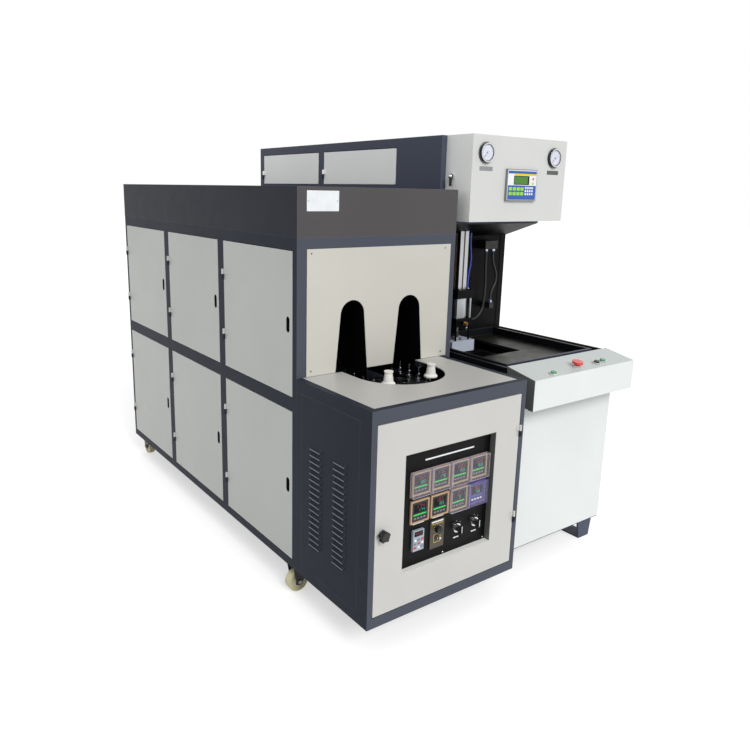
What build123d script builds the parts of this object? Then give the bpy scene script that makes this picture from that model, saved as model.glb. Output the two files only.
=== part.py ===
from build123d import *
from math import atan2, cos, degrees, pi, radians, sin, tan
import os

os.makedirs("parts", exist_ok=True)

# Blow moulding line: rotary preheating oven on castors at the left, blow station on feet at the right.
# Millimetres, +Z up, fronts face -Y, the middle of the footprint at the origin and the floor at z = 0.

# footprint
oven_width = 650
oven_depth = 1575
box_width = 616
box_depth = 388
station_gap = 27
blow_width = 551
oven_side = max(oven_width, box_width)
line_width = oven_side + station_gap + blow_width
oven_left = -line_width / 2
oven_right = oven_left + oven_width
oven_front = -(oven_depth - box_depth) / 2
oven_rear = oven_front + oven_depth
box_front = oven_front - box_depth
blow_left = oven_left + oven_side + station_gap
blow_right = blow_left + blow_width

# heights
cabinet_bottom = 103
oven_top = 1346
hood_height = 151
top_rail_height = 38
mid_rail_height = 44
bottom_rail_height = 29
deck_top = 762
upper_door_height = 463
hood_bottom = oven_top - hood_height
top_rail_bottom = hood_bottom - top_rail_height
mid_rail_top = top_rail_bottom - upper_door_height
mid_rail_bottom = mid_rail_top - mid_rail_height
bottom_rail_top = cabinet_bottom + bottom_rail_height

# oven frame
sheet = 2
post_width = 44
front_post_depth = 24
rear_post_depth = 19
left_post_face = 34
right_post_face = 24
tube_depth = 30
door_width = (oven_depth - front_post_depth - rear_post_depth - 2 * post_width) / 3
chain_floor_top = 690
chain_floor_sheet = 6

# side doors
door_gap = 2.5
door_pan = 18
door_sheet = 1.5
pull_width = 20
pull_height = 50
pull_depth = 12
pull_inset = 26

# lift-off hinges
hinge_axis_out = 5
hinge_barrel = 4
hinge_pin = 2
pin_clearance = 0.05
hinge_leaf = 14
hinge_leaf_sheet = 2
hinge_half_height = 19
hinge_tip = 5
hinge_cap = 3
hinge_face_gap = 0.4
hinge_inset = 122
side_proud = hinge_axis_out + hinge_barrel

# front arches and their tunnels
arch_pitch = 238
arch_centre = 328
arch_radius = 47
arch_foot = 64
arch_spring = 947
tunnel_length = 150
tunnel_sheet = 2

# control box
stile = 18
box_rail = 40
louvre_front_stile = 54
louvre_rear_stile = 30
louvre_count = 17
panel_fit = 0.3
louvre_pitch = 20
louvre_width = 56
louvre_height = 13
louvre_out = 7
louvre_sheet = 1.2
louvre_top = 575
louvre_near = 272
louvre_far = 144
deck_sheet = 3
deck_rim = 22
deck_back_strip = 27
deck_ledge = 12
shelf_back = 60
hole_radius = 157
hole_centre_back = 90

# control door
control_door_pan = 20
front_proud = 24
low_hinge_rise = 40
panel_recess = 22
panel_sheet = 3
panel_margin = 10

# the window and the instruments, measured across from the middle of the control box
window_left = -184
window_right = 182
window_top = 612
window_bottom = 243
meter_pitch_x = 79
meter_first_x = -107
meter_rows = (505, 417)
meter_size = 72
meter_body_depth = 60
meter_bezel = 6
meter_flange = 2.5
meter_rim = 5
cover_depth = 16
cover_wall = 1.5
keypad_x = -111
keypad_z = 325
keypad_width = 42
keypad_height = 66
keypad_depth = 9
speed_x = -32
speed_z = 322
speed_width = 56
speed_height = 92
speed_depth = 4
toggle_collar = 3
toggle_collar_radius = 8
toggle_bore_radius = 4.5
toggle_root_radius = 2
toggle_tip_radius = 3.6
toggle_reach = 12
toggle_rise = 5
toggle_half_length = 3.3
seat_gap = 0.3
selector_x = (53, 130)
selector_z = 317
selector_ring = 5
selector_radius = 10
selector_ring_radius = 15
selector_clear = 0.5

# conveyor
wheel_pitch_radius = 119
wheel_front_back = 78
wheel_rear_inset = 275
chain_width = 20
chain_height = 12
chain_top = 712
wheel_hub_radius = 22
wheel_hole_radius = 24
wheel_hole_circle = 68
link_gap = 0.3
mandrel_count = 70
mandrel_stub_radius = 12
mandrel_stub_height = 3.5
mandrel_spindle_radius = 5
mandrel_bore_depth = 31

# lamp banks
reflector_inset = 42
reflector_front = 190
reflector_rear = 60
lamp_levels = 4
lamp_first = 70
lamp_pitch = 90
lamp_radius = 6
lamp_out = 16
lamp_end_gap = 60
lamp_holder = 8

# castors
castor_height = cabinet_bottom
castor_wheel_radius = 37.5
castor_wheel_width = 28
castor_axle_radius = 5
castor_trail = 25
castor_inset_x = 58
castor_inset_y = 50
castor_leg = 4
castor_plate_radius = 26
castor_crown = 9
castor_bridge = 6
castor_leg_half = 12

# blow station
blow_top = 1535
blow_bottom = 88
foot_width = 88
foot_taper = 13
foot_plate = 8
foot_inset = 22
foot_length = 80
pressed_margin = 60
skin = 3
throat_wall = 290
blow_rear_inset = 106
blow_body_front = 287
arm_front = 120
arm_bottom = 1235
arm_drop_front = 15
arm_drop_rear = 73
throat_post = 28
throat_post_proud = 2
head_reach = 10
head_inset = 23
table_front = 252
table_recess = 30
table_rim = 48
table_depth = 40
table_lip = 10
channel_width = 26
channel_depth = 18

# flaps above the oven's roof
flap_clear = 14
flap_top_inset = 34
flap_rear_margin = 36
flap_front_margin = 84
flap_post = 41

# console
slope_back_height = 768
slope_front_height = 745
console_reach = 372
skirt_bottom = 640
console_sheet = 3
console_lip = 22


def block(x_low, x_high, y_low, y_high, z_low, z_high, mode=Mode.ADD):
    with Locations(((x_low + x_high) / 2, (y_low + y_high) / 2, (z_low + z_high) / 2)):
        Box(x_high - x_low, y_high - y_low, z_high - z_low, mode=mode)


def upright(x, y, z_low, z_high, radius, mode=Mode.ADD):
    with Locations((x, y, (z_low + z_high) / 2)):
        Cylinder(radius, z_high - z_low, mode=mode)


def along_y(x, y_low, y_high, z, radius, mode=Mode.ADD):
    with Locations(Location((x, (y_low + y_high) / 2, z), (90, 0, 0))):
        Cylinder(radius, y_high - y_low, mode=mode)


def along_x(x_low, x_high, y, z, radius, mode=Mode.ADD):
    with Locations(Location(((x_low + x_high) / 2, y, z), (0, 90, 0))):
        Cylinder(radius, x_high - x_low, mode=mode)


def side_hinge(face_x, axis_y, z, way):
    # way is +1 for the half welded to the post and -1 for the half on the door
    z_low = z - hinge_half_height if way > 0 else z + hinge_face_gap
    z_high = z if way > 0 else z + hinge_half_height
    leaf_ends = sorted((axis_y, axis_y + way * hinge_leaf))
    block(face_x - hinge_leaf_sheet, face_x, leaf_ends[0], leaf_ends[1], z_low, z_high)
    upright(face_x - hinge_axis_out, axis_y, z_low, z_high, hinge_barrel)
    if way > 0:
        upright(face_x - hinge_axis_out, axis_y, z, z + hinge_half_height - hinge_tip, hinge_pin)
    else:
        bore = hinge_pin + pin_clearance
        upright(face_x - hinge_axis_out, axis_y, z_low, z_high - hinge_cap, bore, mode=Mode.SUBTRACT)


def front_hinge(axis_x, face_y, z, way):
    z_low = z - hinge_half_height if way > 0 else z + hinge_face_gap
    z_high = z if way > 0 else z + hinge_half_height
    leaf_ends = sorted((axis_x, axis_x + way * hinge_leaf))
    block(leaf_ends[0], leaf_ends[1], face_y - hinge_leaf_sheet, face_y, z_low, z_high)
    upright(axis_x, face_y - hinge_axis_out, z_low, z_high, hinge_barrel)
    if way > 0:
        upright(axis_x, face_y - hinge_axis_out, z, z + hinge_half_height - hinge_tip, hinge_pin)
    else:
        bore = hinge_pin + pin_clearance
        upright(axis_x, face_y - hinge_axis_out, z_low, z_high - hinge_cap, bore, mode=Mode.SUBTRACT)


# where the doors stand along the oven, front to rear
door_fronts = [oven_front + front_post_depth + i * (door_width + post_width) for i in range(3)]
door_rows = (("upper", mid_rail_top, top_rail_bottom), ("lower", bottom_rail_top, mid_rail_bottom))
castor_spots = (
    ("front_left", oven_left + castor_inset_x, oven_front + castor_inset_y, 180),
    ("front_right", oven_right - castor_inset_x, oven_front + castor_inset_y, 180),
    ("rear_left", oven_left + castor_inset_x, oven_rear - castor_inset_y - 10, 90),
    ("rear_right", oven_right - castor_inset_x, oven_rear - castor_inset_y - 10, 90),
)
gusset = 8
gusset_x = 40
gusset_y = 36
stem_radius = 8
terminal_inset = 125
terminal_width = 130
terminal_height = 160
terminal_low = 820
gland_length = 20
gland_radius = 9

with BuildPart() as oven_body:
    # welded tube frame
    post_faces = ((oven_left, oven_left + left_post_face), (oven_right - right_post_face, oven_right))
    for face_low, face_high in post_faces:
        block(face_low, face_high, oven_front, oven_front + front_post_depth, cabinet_bottom, hood_bottom)
        block(face_low, face_high, oven_rear - rear_post_depth, oven_rear, cabinet_bottom, hood_bottom)
    for side_low in (oven_left, oven_right - tube_depth):
        for front in door_fronts[1:]:
            block(side_low, side_low + tube_depth, front - post_width, front, cabinet_bottom, hood_bottom)
        block(side_low, side_low + tube_depth, oven_front, oven_rear, cabinet_bottom, bottom_rail_top)
        block(side_low, side_low + tube_depth, oven_front, oven_rear, mid_rail_bottom, mid_rail_top)
        block(side_low, side_low + tube_depth, oven_front, oven_rear, top_rail_bottom, hood_bottom)
    block(oven_left, oven_right, oven_front, oven_front + front_post_depth, cabinet_bottom, bottom_rail_top)
    block(oven_left, oven_right, oven_front, oven_front + front_post_depth, top_rail_bottom, hood_bottom)
    # skins on the blind sides, floors and the wall behind the control box
    block(oven_right - sheet, oven_right, oven_front, oven_rear, cabinet_bottom, hood_bottom)
    block(oven_left, oven_right, oven_rear - sheet, oven_rear, cabinet_bottom, hood_bottom)
    block(oven_left, oven_right, oven_front, oven_rear, cabinet_bottom, cabinet_bottom + sheet)
    floor_low = chain_floor_top - chain_floor_sheet
    block(oven_left + tube_depth, oven_right, oven_front, oven_rear, floor_low, chain_floor_top)
    block(oven_left, oven_right, oven_front, oven_front + sheet, cabinet_bottom, chain_floor_top)
    filler = sorted((oven_left + box_width - deck_rim, oven_right))
    block(filler[0], filler[1], oven_front, oven_front + sheet, chain_floor_top, deck_top)
    # corner plates that take the castor stems
    for name, x, y, turn in castor_spots:
        block(x - gusset_x, x + gusset_x, y - gusset_y, y + gusset_y, cabinet_bottom, cabinet_bottom + gusset)
    stem_bore = stem_radius + pin_clearance
    for name, x, y, turn in castor_spots:
        upright(x, y, cabinet_bottom - 1, cabinet_bottom + gusset + 1, stem_bore, mode=Mode.SUBTRACT)
    # mains terminal box with its gland at the rear
    terminal_x = oven_right - terminal_inset
    terminal_y = oven_rear + front_proud
    terminal_high = terminal_low + terminal_height
    terminal_x1 = terminal_x - terminal_width / 2
    terminal_x2 = terminal_x + terminal_width / 2
    block(terminal_x1, terminal_x2, oven_rear, terminal_y, terminal_low, terminal_high)
    upright(terminal_x, oven_rear + front_proud / 2, terminal_low - gland_length, terminal_low, gland_radius)
oven_body.part.label = "oven_body"
export_step(oven_body.part, "parts/oven_body.step")

with BuildPart() as oven_hood:
    block(oven_left, oven_right, oven_front, oven_rear, hood_bottom, oven_top)
    block(
        oven_left + sheet,
        oven_right - sheet,
        oven_front + sheet,
        oven_rear - sheet,
        hood_bottom,
        oven_top - sheet,
        mode=Mode.SUBTRACT,
    )
oven_hood.part.label = "oven_hood"
export_step(oven_hood.part, "parts/oven_hood.step")


def arch_outline(z_foot, grow):
    foot = arch_foot + grow + (deck_top - z_foot) * (arch_foot - arch_radius) / (arch_spring - deck_top)
    for side in (-1, 1):
        centre = oven_left + arch_centre + side * arch_pitch / 2
        with Locations((centre, arch_spring)):
            Circle(arch_radius + grow)
        Polygon(
            (centre - foot, z_foot),
            (centre + foot, z_foot),
            (centre + arch_radius + grow, arch_spring),
            (centre - arch_radius - grow, arch_spring),
            align=None,
        )


# Plane.XZ looks towards -Y, so a positive extrusion comes out of the front
with BuildPart() as oven_front_panel:
    front_sheet = 1.5
    front_x1 = oven_left + left_post_face + 1
    front_x2 = oven_right - right_post_face + 1
    block(front_x1, front_x2, oven_front - front_sheet, oven_front, deck_top + 1, top_rail_bottom + 4)
    with BuildSketch(Plane.XZ.offset(-oven_front)):
        arch_outline(deck_top - 5, 0)
    extrude(amount=front_sheet * 2, both=True, mode=Mode.SUBTRACT)
oven_front_panel.part.label = "oven_front_panel"
export_step(oven_front_panel.part, "parts/oven_front_panel.step")

tunnel_foot = chain_top + 1
with BuildPart() as tunnel_liners:
    with BuildSketch(Plane.XZ.offset(-oven_front)):
        arch_outline(tunnel_foot, tunnel_sheet)
    extrude(amount=-tunnel_length)
    with BuildSketch(Plane.XZ.offset(-oven_front)):
        arch_outline(tunnel_foot - 5, 0)
    extrude(amount=-tunnel_length, mode=Mode.SUBTRACT)
tunnel_liners.part.label = "tunnel_liners"
export_step(tunnel_liners.part, "parts/tunnel_liners.step")

for row_name, low, high in door_rows:
    for front, column_name in zip(door_fronts, ("front", "middle", "rear")):
        y_low = front + door_gap
        y_high = front + door_width - door_gap
        axis_y = front + door_width - door_gap / 2
        with BuildPart() as side_door:
            block(oven_left, oven_left + door_pan, y_low, y_high, low + door_gap, high - door_gap)
            block(
                oven_left + door_sheet,
                oven_left + door_pan,
                y_low + door_sheet,
                y_high - door_sheet,
                low + door_gap + door_sheet,
                high - door_gap - door_sheet,
                mode=Mode.SUBTRACT,
            )
            # blind oval finger pull near the free edge
            with BuildSketch(Plane.YZ.offset(oven_left + door_sheet / 2)):
                with Locations((y_low + pull_inset, (low + high) / 2)):
                    SlotOverall(pull_height + 3, pull_width + 3, rotation=90)
            extrude(amount=pull_depth)
            with BuildSketch(Plane.YZ.offset(oven_left)):
                with Locations((y_low + pull_inset, (low + high) / 2)):
                    SlotOverall(pull_height, pull_width, rotation=90)
            extrude(amount=pull_depth - 1, mode=Mode.SUBTRACT)
            for z in (low + hinge_inset, high - hinge_inset):
                side_hinge(oven_left, axis_y, z, -1)
        side_door.part.label = f"{row_name}_{column_name}_door"
        export_step(side_door.part, f"parts/{row_name}_{column_name}_door.step")

# control box
box_left = oven_left
box_right = box_left + box_width
box_sill_top = cabinet_bottom + 33
box_head_bottom = deck_top - box_rail
louvre_front = box_front + louvre_front_stile
louvre_back = oven_front - louvre_rear_stile

with BuildPart() as control_box:
    block(box_left, box_right, box_front, oven_front, cabinet_bottom, deck_top)
    # clear inside, leaving folded rims round each mouth
    rim_x1 = box_left + deck_rim
    rim_x2 = box_right - deck_rim
    rim_y = box_front + deck_rim
    rim_low = deck_top - deck_rim
    rim_back = oven_front - deck_back_strip
    plate_low = deck_top - deck_sheet
    block(rim_x1, box_right - sheet, rim_y, oven_front, cabinet_bottom + sheet, rim_low, mode=Mode.SUBTRACT)
    block(
        box_left + stile,
        box_right - stile,
        box_front,
        rim_y,
        box_sill_top,
        box_head_bottom,
        mode=Mode.SUBTRACT,
    )
    block(box_left, rim_x1, louvre_front, louvre_back, box_sill_top, box_head_bottom, mode=Mode.SUBTRACT)
    block(rim_x1, rim_x2, rim_y, rim_back, rim_low, deck_top, mode=Mode.SUBTRACT)
    block(rim_x1, rim_x2, rim_back, oven_front, plate_low, deck_top, mode=Mode.SUBTRACT)
    # shelf under the chain and its wheel
    block(rim_x1, box_right - sheet, box_front + shelf_back, oven_front, floor_low, chain_floor_top)
    # ledge that carries the deck plate
    block(rim_x1, rim_x2, rim_y, rim_y + deck_ledge, rim_low, plate_low)
    # way through the rear rim for the chain
    hole_x = oven_left + arch_centre
    way_left = hole_x - hole_radius
    way_right = hole_x + hole_radius
    block(way_left, way_right, rim_back, oven_front, rim_low, deck_top, mode=Mode.SUBTRACT)
control_box.part.label = "control_box"
export_step(control_box.part, "parts/control_box.step")

with BuildPart() as louvre_panel:
    panel_low = box_sill_top + panel_fit
    panel_high = box_head_bottom - panel_fit
    panel_y1 = louvre_front + panel_fit
    panel_y2 = louvre_back - panel_fit
    block(box_left, box_left + sheet, panel_y1, panel_y2, panel_low, panel_high)
    louvre_ends = (oven_front - louvre_near + louvre_width, oven_front - louvre_far + louvre_width)
    for i in range(louvre_count):
        z_low = louvre_top - louvre_height - i * louvre_pitch
        z_high = z_low + louvre_height
        for y in louvre_ends:
            with BuildSketch(Plane.XZ.offset(-y)):
                with BuildLine():
                    Polyline(
                        (box_left + sheet / 2, z_low),
                        (box_left - louvre_out, z_low),
                        (box_left - louvre_out, z_low + 2),
                        (box_left + sheet / 2, z_high),
                        close=True,
                    )
                make_face()
            extrude(amount=louvre_width)
    for i in range(louvre_count):
        z_low = louvre_top - louvre_height - i * louvre_pitch
        z_high = z_low + louvre_height
        for y in louvre_ends:
            with BuildSketch(Plane.XZ.offset(louvre_sheet - y)):
                with BuildLine():
                    Polyline(
                        (box_left + sheet * 2, z_low - 1),
                        (box_left - louvre_out + louvre_sheet, z_low - 1),
                        (box_left - louvre_out + louvre_sheet, z_low + louvre_sheet),
                        (box_left + sheet * 2, z_high - louvre_sheet),
                        close=True,
                    )
                make_face()
            extrude(amount=louvre_width - 2 * louvre_sheet, mode=Mode.SUBTRACT)
louvre_panel.part.label = "louvre_panel"
export_step(louvre_panel.part, "parts/louvre_panel.step")

with BuildPart() as deck_plate:
    block(rim_x1, rim_x2, rim_y, oven_front - panel_fit, plate_low, deck_top)
    hole_y = oven_front - hole_centre_back
    upright(hole_x, hole_y, deck_top - 2 * deck_sheet, deck_top + deck_sheet, hole_radius, mode=Mode.SUBTRACT)
    block(way_left, way_right, hole_y, oven_front, plate_low, deck_top, mode=Mode.SUBTRACT)
deck_plate.part.label = "deck_plate"
export_step(deck_plate.part, "parts/deck_plate.step")

# control door with its window and instruments
door_left = box_left + stile + door_gap
door_right = box_right - stile - door_gap
door_low = box_sill_top + door_gap
door_high = box_head_bottom - door_gap
control_axis_x = box_right - stile - door_gap / 2
control_hinge_z = (door_low + hinge_inset + low_hinge_rise, door_high - hinge_inset)
box_middle = box_left + box_width / 2
win_x1 = box_middle + window_left
win_x2 = box_middle + window_right
panel_front = box_front + panel_recess
panel_back = panel_front + panel_sheet
meter_spots = [(box_middle + meter_first_x + i * meter_pitch_x, z) for z in meter_rows for i in range(4)]
covered_spots = meter_spots[:4] + meter_spots[6:]

with BuildPart() as control_door:
    block(door_left, door_right, box_front, box_front + control_door_pan, door_low, door_high)
    block(
        door_left + door_sheet,
        door_right - door_sheet,
        box_front + door_sheet,
        box_front + control_door_pan,
        door_low + door_sheet,
        door_high - door_sheet,
        mode=Mode.SUBTRACT,
    )
    block(win_x1 - 2, win_x2 + 2, box_front, panel_front, window_bottom - 2, window_top + 2)
    block(win_x1, win_x2, box_front - 1, panel_front, window_bottom, window_top, mode=Mode.SUBTRACT)
    for z in control_hinge_z:
        front_hinge(control_axis_x, box_front, z, -1)
control_door.part.label = "control_door"
export_step(control_door.part, "parts/control_door.step")

with BuildPart() as instrument_panel:
    block(
        win_x1 - panel_margin,
        win_x2 + panel_margin,
        panel_front,
        panel_back,
        window_bottom - panel_margin,
        window_top + panel_margin,
    )
    for x, z in meter_spots:
        half = meter_size / 2 - 2
        block(x - half, x + half, panel_front, panel_back, z - half, z + half, mode=Mode.SUBTRACT)
    # rings the two selectors turn in
    ring_face = panel_front - selector_ring
    ring_bore = selector_radius + selector_clear
    for offset in selector_x:
        along_y(box_middle + offset, ring_face, panel_front, selector_z, selector_ring_radius)
        along_y(box_middle + offset, ring_face, panel_front, selector_z, ring_bore, mode=Mode.SUBTRACT)
instrument_panel.part.label = "instrument_panel"
export_step(instrument_panel.part, "parts/instrument_panel.step")

with BuildPart() as meter_housings:
    for x, z in meter_spots:
        half = meter_size / 2
        neck = half - meter_flange
        face = half - meter_rim
        meter_face_y = panel_front - meter_bezel
        block(x - half, x + half, meter_face_y, panel_front, z - half, z + half)
        block(x - neck, x + neck, panel_front, panel_front + meter_body_depth, z - neck, z + neck)
        block(x - face, x + face, meter_face_y, meter_face_y + 2, z - face, z + face, mode=Mode.SUBTRACT)
meter_housings.part.label = "meter_housings"
export_step(meter_housings.part, "parts/meter_housings.step")

with BuildPart() as meter_covers:
    for x, z in covered_spots:
        half = meter_size / 2 + 0.5
        outer = half + cover_wall
        block(x - outer, x + outer, panel_front - cover_depth, panel_front, z - outer, z + outer)
        cover_inside = panel_front - cover_depth + cover_wall
        block(x - half, x + half, cover_inside, panel_front, z - half, z + half, mode=Mode.SUBTRACT)
meter_covers.part.label = "meter_covers"
export_step(meter_covers.part, "parts/meter_covers.step")

with BuildPart() as drive_keypad:
    x = box_middle + keypad_x
    keypad_face = panel_front - keypad_depth
    keypad_low = keypad_z - keypad_height / 2
    keypad_high = keypad_z + keypad_height / 2
    block(x - keypad_width / 2, x + keypad_width / 2, keypad_face, panel_front, keypad_low, keypad_high)
    # sunken readout above three rows of keys
    block(x - 17, x + 17, keypad_face, keypad_face + 1, keypad_high - 20, keypad_high - 3, mode=Mode.SUBTRACT)
    for row in range(3):
        for column in range(3):
            key_x = x - 14 + 14 * column
            key_z = keypad_high - 30 - 12 * row
            block(key_x - 5, key_x + 5, keypad_face - 1.2, keypad_face, key_z - 4, key_z + 4)
drive_keypad.part.label = "drive_keypad"
export_step(drive_keypad.part, "parts/drive_keypad.step")

speed_knob_z = speed_z + 16
toggle_z = speed_z - 14
speed_face = panel_front - speed_depth
speed_low = speed_z - speed_height / 2
speed_high = speed_z + speed_height / 2
toggle_pivot_y = speed_face - toggle_collar
with BuildPart() as speed_plate:
    x = box_middle + speed_x
    block(x - speed_width / 2, x + speed_width / 2, speed_face, panel_front, speed_low, speed_high)
    along_y(x, speed_face - 8, speed_face, speed_knob_z, 3)
    along_y(x, toggle_pivot_y, speed_face, toggle_z, toggle_collar_radius)
    along_y(x, toggle_pivot_y, speed_face, toggle_z, toggle_bore_radius, mode=Mode.SUBTRACT)
speed_plate.part.label = "speed_plate"
export_step(speed_plate.part, "parts/speed_plate.step")

with BuildPart() as speed_knob:
    x = box_middle + speed_x
    along_y(x, speed_face - 14, speed_face - 0.6, speed_knob_z, 11)
    block(x - 1.5, x + 1.5, speed_face - 15.5, speed_face - 13, speed_knob_z, speed_knob_z + 10)
    along_y(x, speed_face - 9, speed_face, speed_knob_z, 3 + pin_clearance, mode=Mode.SUBTRACT)
speed_knob.part.label = "speed_knob"
export_step(speed_knob.part, "parts/speed_knob.step")

with BuildPart() as toggle_lever:
    x = box_middle + speed_x
    with BuildSketch(Plane.XZ.offset(-toggle_pivot_y)):
        with Locations((x, toggle_z)):
            Circle(toggle_root_radius)
    with BuildSketch(Plane.XZ.offset(-(toggle_pivot_y - toggle_reach))):
        with Locations((x, toggle_z + toggle_rise)):
            Circle(toggle_tip_radius)
    loft()
    # trunnion that rocks in the collar just clear of the plate
    trunnion_radius = toggle_collar - seat_gap
    along_x(x - toggle_half_length, x + toggle_half_length, toggle_pivot_y, toggle_z, trunnion_radius)
toggle_lever.part.label = "toggle_lever"
export_step(toggle_lever.part, "parts/toggle_lever.step")

for side, offset in zip(("left", "right"), selector_x):
    with BuildPart() as selector:
        x = box_middle + offset
        along_y(x, panel_front - 17, panel_front - seat_gap, selector_z, selector_radius)
        block(x - 3.5, x + 3.5, panel_front - 25, panel_front - 16, selector_z - 13, selector_z + 13)
    selector.part.label = f"{side}_selector"
    export_step(selector.part, f"parts/{side}_selector.step")

latch_x = box_left + 42
latch_z = 395
latch_radius = 13
latch_lobe_radius = 5
with BuildPart() as latch_knob:
    along_y(latch_x, box_front - 7, box_front - 0.5, latch_z, 8)
    along_y(latch_x, box_front - front_proud, box_front - 6, latch_z, latch_radius)
    for i in range(5):
        lobe = radians(72 * i + 90)
        lobe_x = latch_x + latch_radius * cos(lobe)
        lobe_z = latch_z + latch_radius * sin(lobe)
        along_y(lobe_x, box_front - front_proud + 2, box_front - 8, lobe_z, latch_lobe_radius)
latch_knob.part.label = "latch_knob"
export_step(latch_knob.part, "parts/latch_knob.step")

# conveyor: a loop of links round two wheels, with a mandrel on every link
loop_x = oven_left + arch_centre
front_wheel_y = oven_front - wheel_front_back
rear_wheel_y = oven_rear - wheel_rear_inset
straight = rear_wheel_y - front_wheel_y
loop_length = 2 * straight + 2 * pi * wheel_pitch_radius
mandrel_pitch = loop_length / mandrel_count
mandrel_foot = chain_top + mandrel_stub_height + 0.5


def loop_point(s):
    # s runs along the pitch line from the middle of the front arc, to the right first
    quarter = wheel_pitch_radius * pi / 2
    marks = (quarter, quarter + straight, 3 * quarter + straight, 3 * quarter + 2 * straight)
    if s < marks[0]:
        angle = s / wheel_pitch_radius
        return loop_x + wheel_pitch_radius * sin(angle), front_wheel_y - wheel_pitch_radius * cos(angle)
    if s < marks[1]:
        return loop_x + wheel_pitch_radius, front_wheel_y + s - marks[0]
    if s < marks[2]:
        angle = (s - marks[1]) / wheel_pitch_radius
        return loop_x + wheel_pitch_radius * cos(angle), rear_wheel_y + wheel_pitch_radius * sin(angle)
    if s < marks[3]:
        return loop_x - wheel_pitch_radius, rear_wheel_y - (s - marks[2])
    angle = (s - marks[3]) / wheel_pitch_radius
    return loop_x - wheel_pitch_radius * cos(angle), front_wheel_y - wheel_pitch_radius * sin(angle)


def loop_heading(s):
    behind, ahead = loop_point(s - 1), loop_point(s + 1)
    return degrees(atan2(ahead[1] - behind[1], ahead[0] - behind[0]))


mandrel_spots = [loop_point(i * mandrel_pitch) for i in range(mandrel_count)]
turning = (("right", 2), ("left", mandrel_count - 2))

with BuildPart() as slim_spindle:
    with BuildSketch(Plane.XZ):
        with BuildLine():
            Polyline((0, 0), (11, 0), (11, 6), (7, 6), (7, 20), (3.5, 22), (3.5, 43), (0, 43), close=True)
        make_face()
    revolve(axis=Axis.Z)

# base, shaft and flared guard with the collar that grips a preform
with BuildPart() as skirted_mandrel:
    with BuildSketch(Plane.XZ):
        with BuildLine():
            Polyline(
                (0, 0),
                (18, 0),
                (18, 6),
                (11, 6),
                (11, 32),
                (22, 32),
                (22, 36),
                (16, 42),
                (12.5, 66),
                (12.5, 70),
                (14.5, 71),
                (14.5, 75),
                (0, 75),
                close=True,
            )
        make_face()
    revolve(axis=Axis.Z)
    upright(0, 0, -1, mandrel_bore_depth, mandrel_spindle_radius + pin_clearance, mode=Mode.SUBTRACT)

link_middle = (chain_floor_top + chain_top) / 2
link_ends = [(i + 0.5) * mandrel_pitch for i in range(mandrel_count)]
with BuildPart() as conveyor:
    for z_low, z_high, half in (
        (chain_floor_top, chain_top - chain_height, chain_width / 4),
        (chain_top - chain_height, chain_top, chain_width / 2),
    ):
        with BuildSketch(Plane.XY.offset(z_low)):
            with Locations((loop_x, (front_wheel_y + rear_wheel_y) / 2)):
                SlotCenterToCenter(straight, 2 * (wheel_pitch_radius + half), rotation=90)
                SlotCenterToCenter(straight, 2 * (wheel_pitch_radius - half), rotation=90, mode=Mode.SUBTRACT)
        extrude(amount=z_high - z_low)
    # the chain's links part half way between the mandrels
    with Locations(*[Location((*loop_point(s), link_middle), (0, 0, loop_heading(s))) for s in link_ends]):
        Box(link_gap, 2 * chain_width, 2 * (chain_top - chain_floor_top), mode=Mode.SUBTRACT)
    # the two wheels run just clear of the chain's inner side
    wheel_low = chain_top - chain_height + 1
    for y in (front_wheel_y, rear_wheel_y):
        upright(loop_x, y, wheel_low, chain_top - 1, wheel_pitch_radius - chain_width / 2 - seat_gap)
        for i in range(6):
            hole_angle = radians(60 * i + 30)
            spoke_x = loop_x + wheel_hole_circle * cos(hole_angle)
            spoke_y = y + wheel_hole_circle * sin(hole_angle)
            upright(spoke_x, spoke_y, wheel_low, chain_top, wheel_hole_radius, mode=Mode.SUBTRACT)
        upright(loop_x, y, chain_floor_top, chain_top + 10, wheel_hub_radius)
    # the turning mandrels stand on spindles of the chain, the others ride on its top
    for side, i in turning:
        x, y = mandrel_spots[i]
        upright(x, y, chain_top, chain_top + mandrel_stub_height, mandrel_stub_radius)
        upright(x, y, chain_top, chain_top + mandrel_bore_depth, mandrel_spindle_radius)
    turning_places = [i for side, i in turning]
    slim_places = [i for i in range(mandrel_count) if i not in turning_places]
    with Locations(*[(*mandrel_spots[i], chain_top + seat_gap) for i in slim_places]):
        add(slim_spindle.part)
conveyor.part.label = "conveyor"
export_step(conveyor.part, "parts/conveyor.step")

for side, i in turning:
    with BuildPart() as front_mandrel:
        with Locations((*mandrel_spots[i], mandrel_foot)):
            add(skirted_mandrel.part)
    front_mandrel.part.label = f"{side}_mandrel"
    export_step(front_mandrel.part, f"parts/{side}_mandrel.step")

# a reflector wall beside each run of the chain, with one bank of quartz tubes to a door
reflectors = ((oven_left + tube_depth + reflector_inset, 1), (oven_right - tube_depth - reflector_inset, -1))
with BuildPart() as lamp_tubes:
    for wall, way in reflectors:
        back = sorted((wall, wall - way * sheet))
        wall_low = oven_front + reflector_front
        wall_high = oven_rear - reflector_rear
        block(back[0], back[1], wall_low, wall_high, chain_floor_top, top_rail_bottom)
        for front in door_fronts:
            tube_low = max(front + left_post_face, wall_low + pull_width)
            tube_high = front + door_width - lamp_end_gap
            for level in range(lamp_levels):
                z = chain_top + lamp_first + lamp_pitch * level
                along_y(wall + way * lamp_out, tube_low, tube_high, z, lamp_radius)
                for y in (tube_low + lamp_holder, tube_high - lamp_holder):
                    ends = sorted((wall, wall + way * lamp_out))
                    block(ends[0], ends[1], y - 4, y + 4, z - 4, z + 4)
lamp_tubes.part.label = "lamp_tubes"
export_step(lamp_tubes.part, "parts/lamp_tubes.step")

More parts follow.
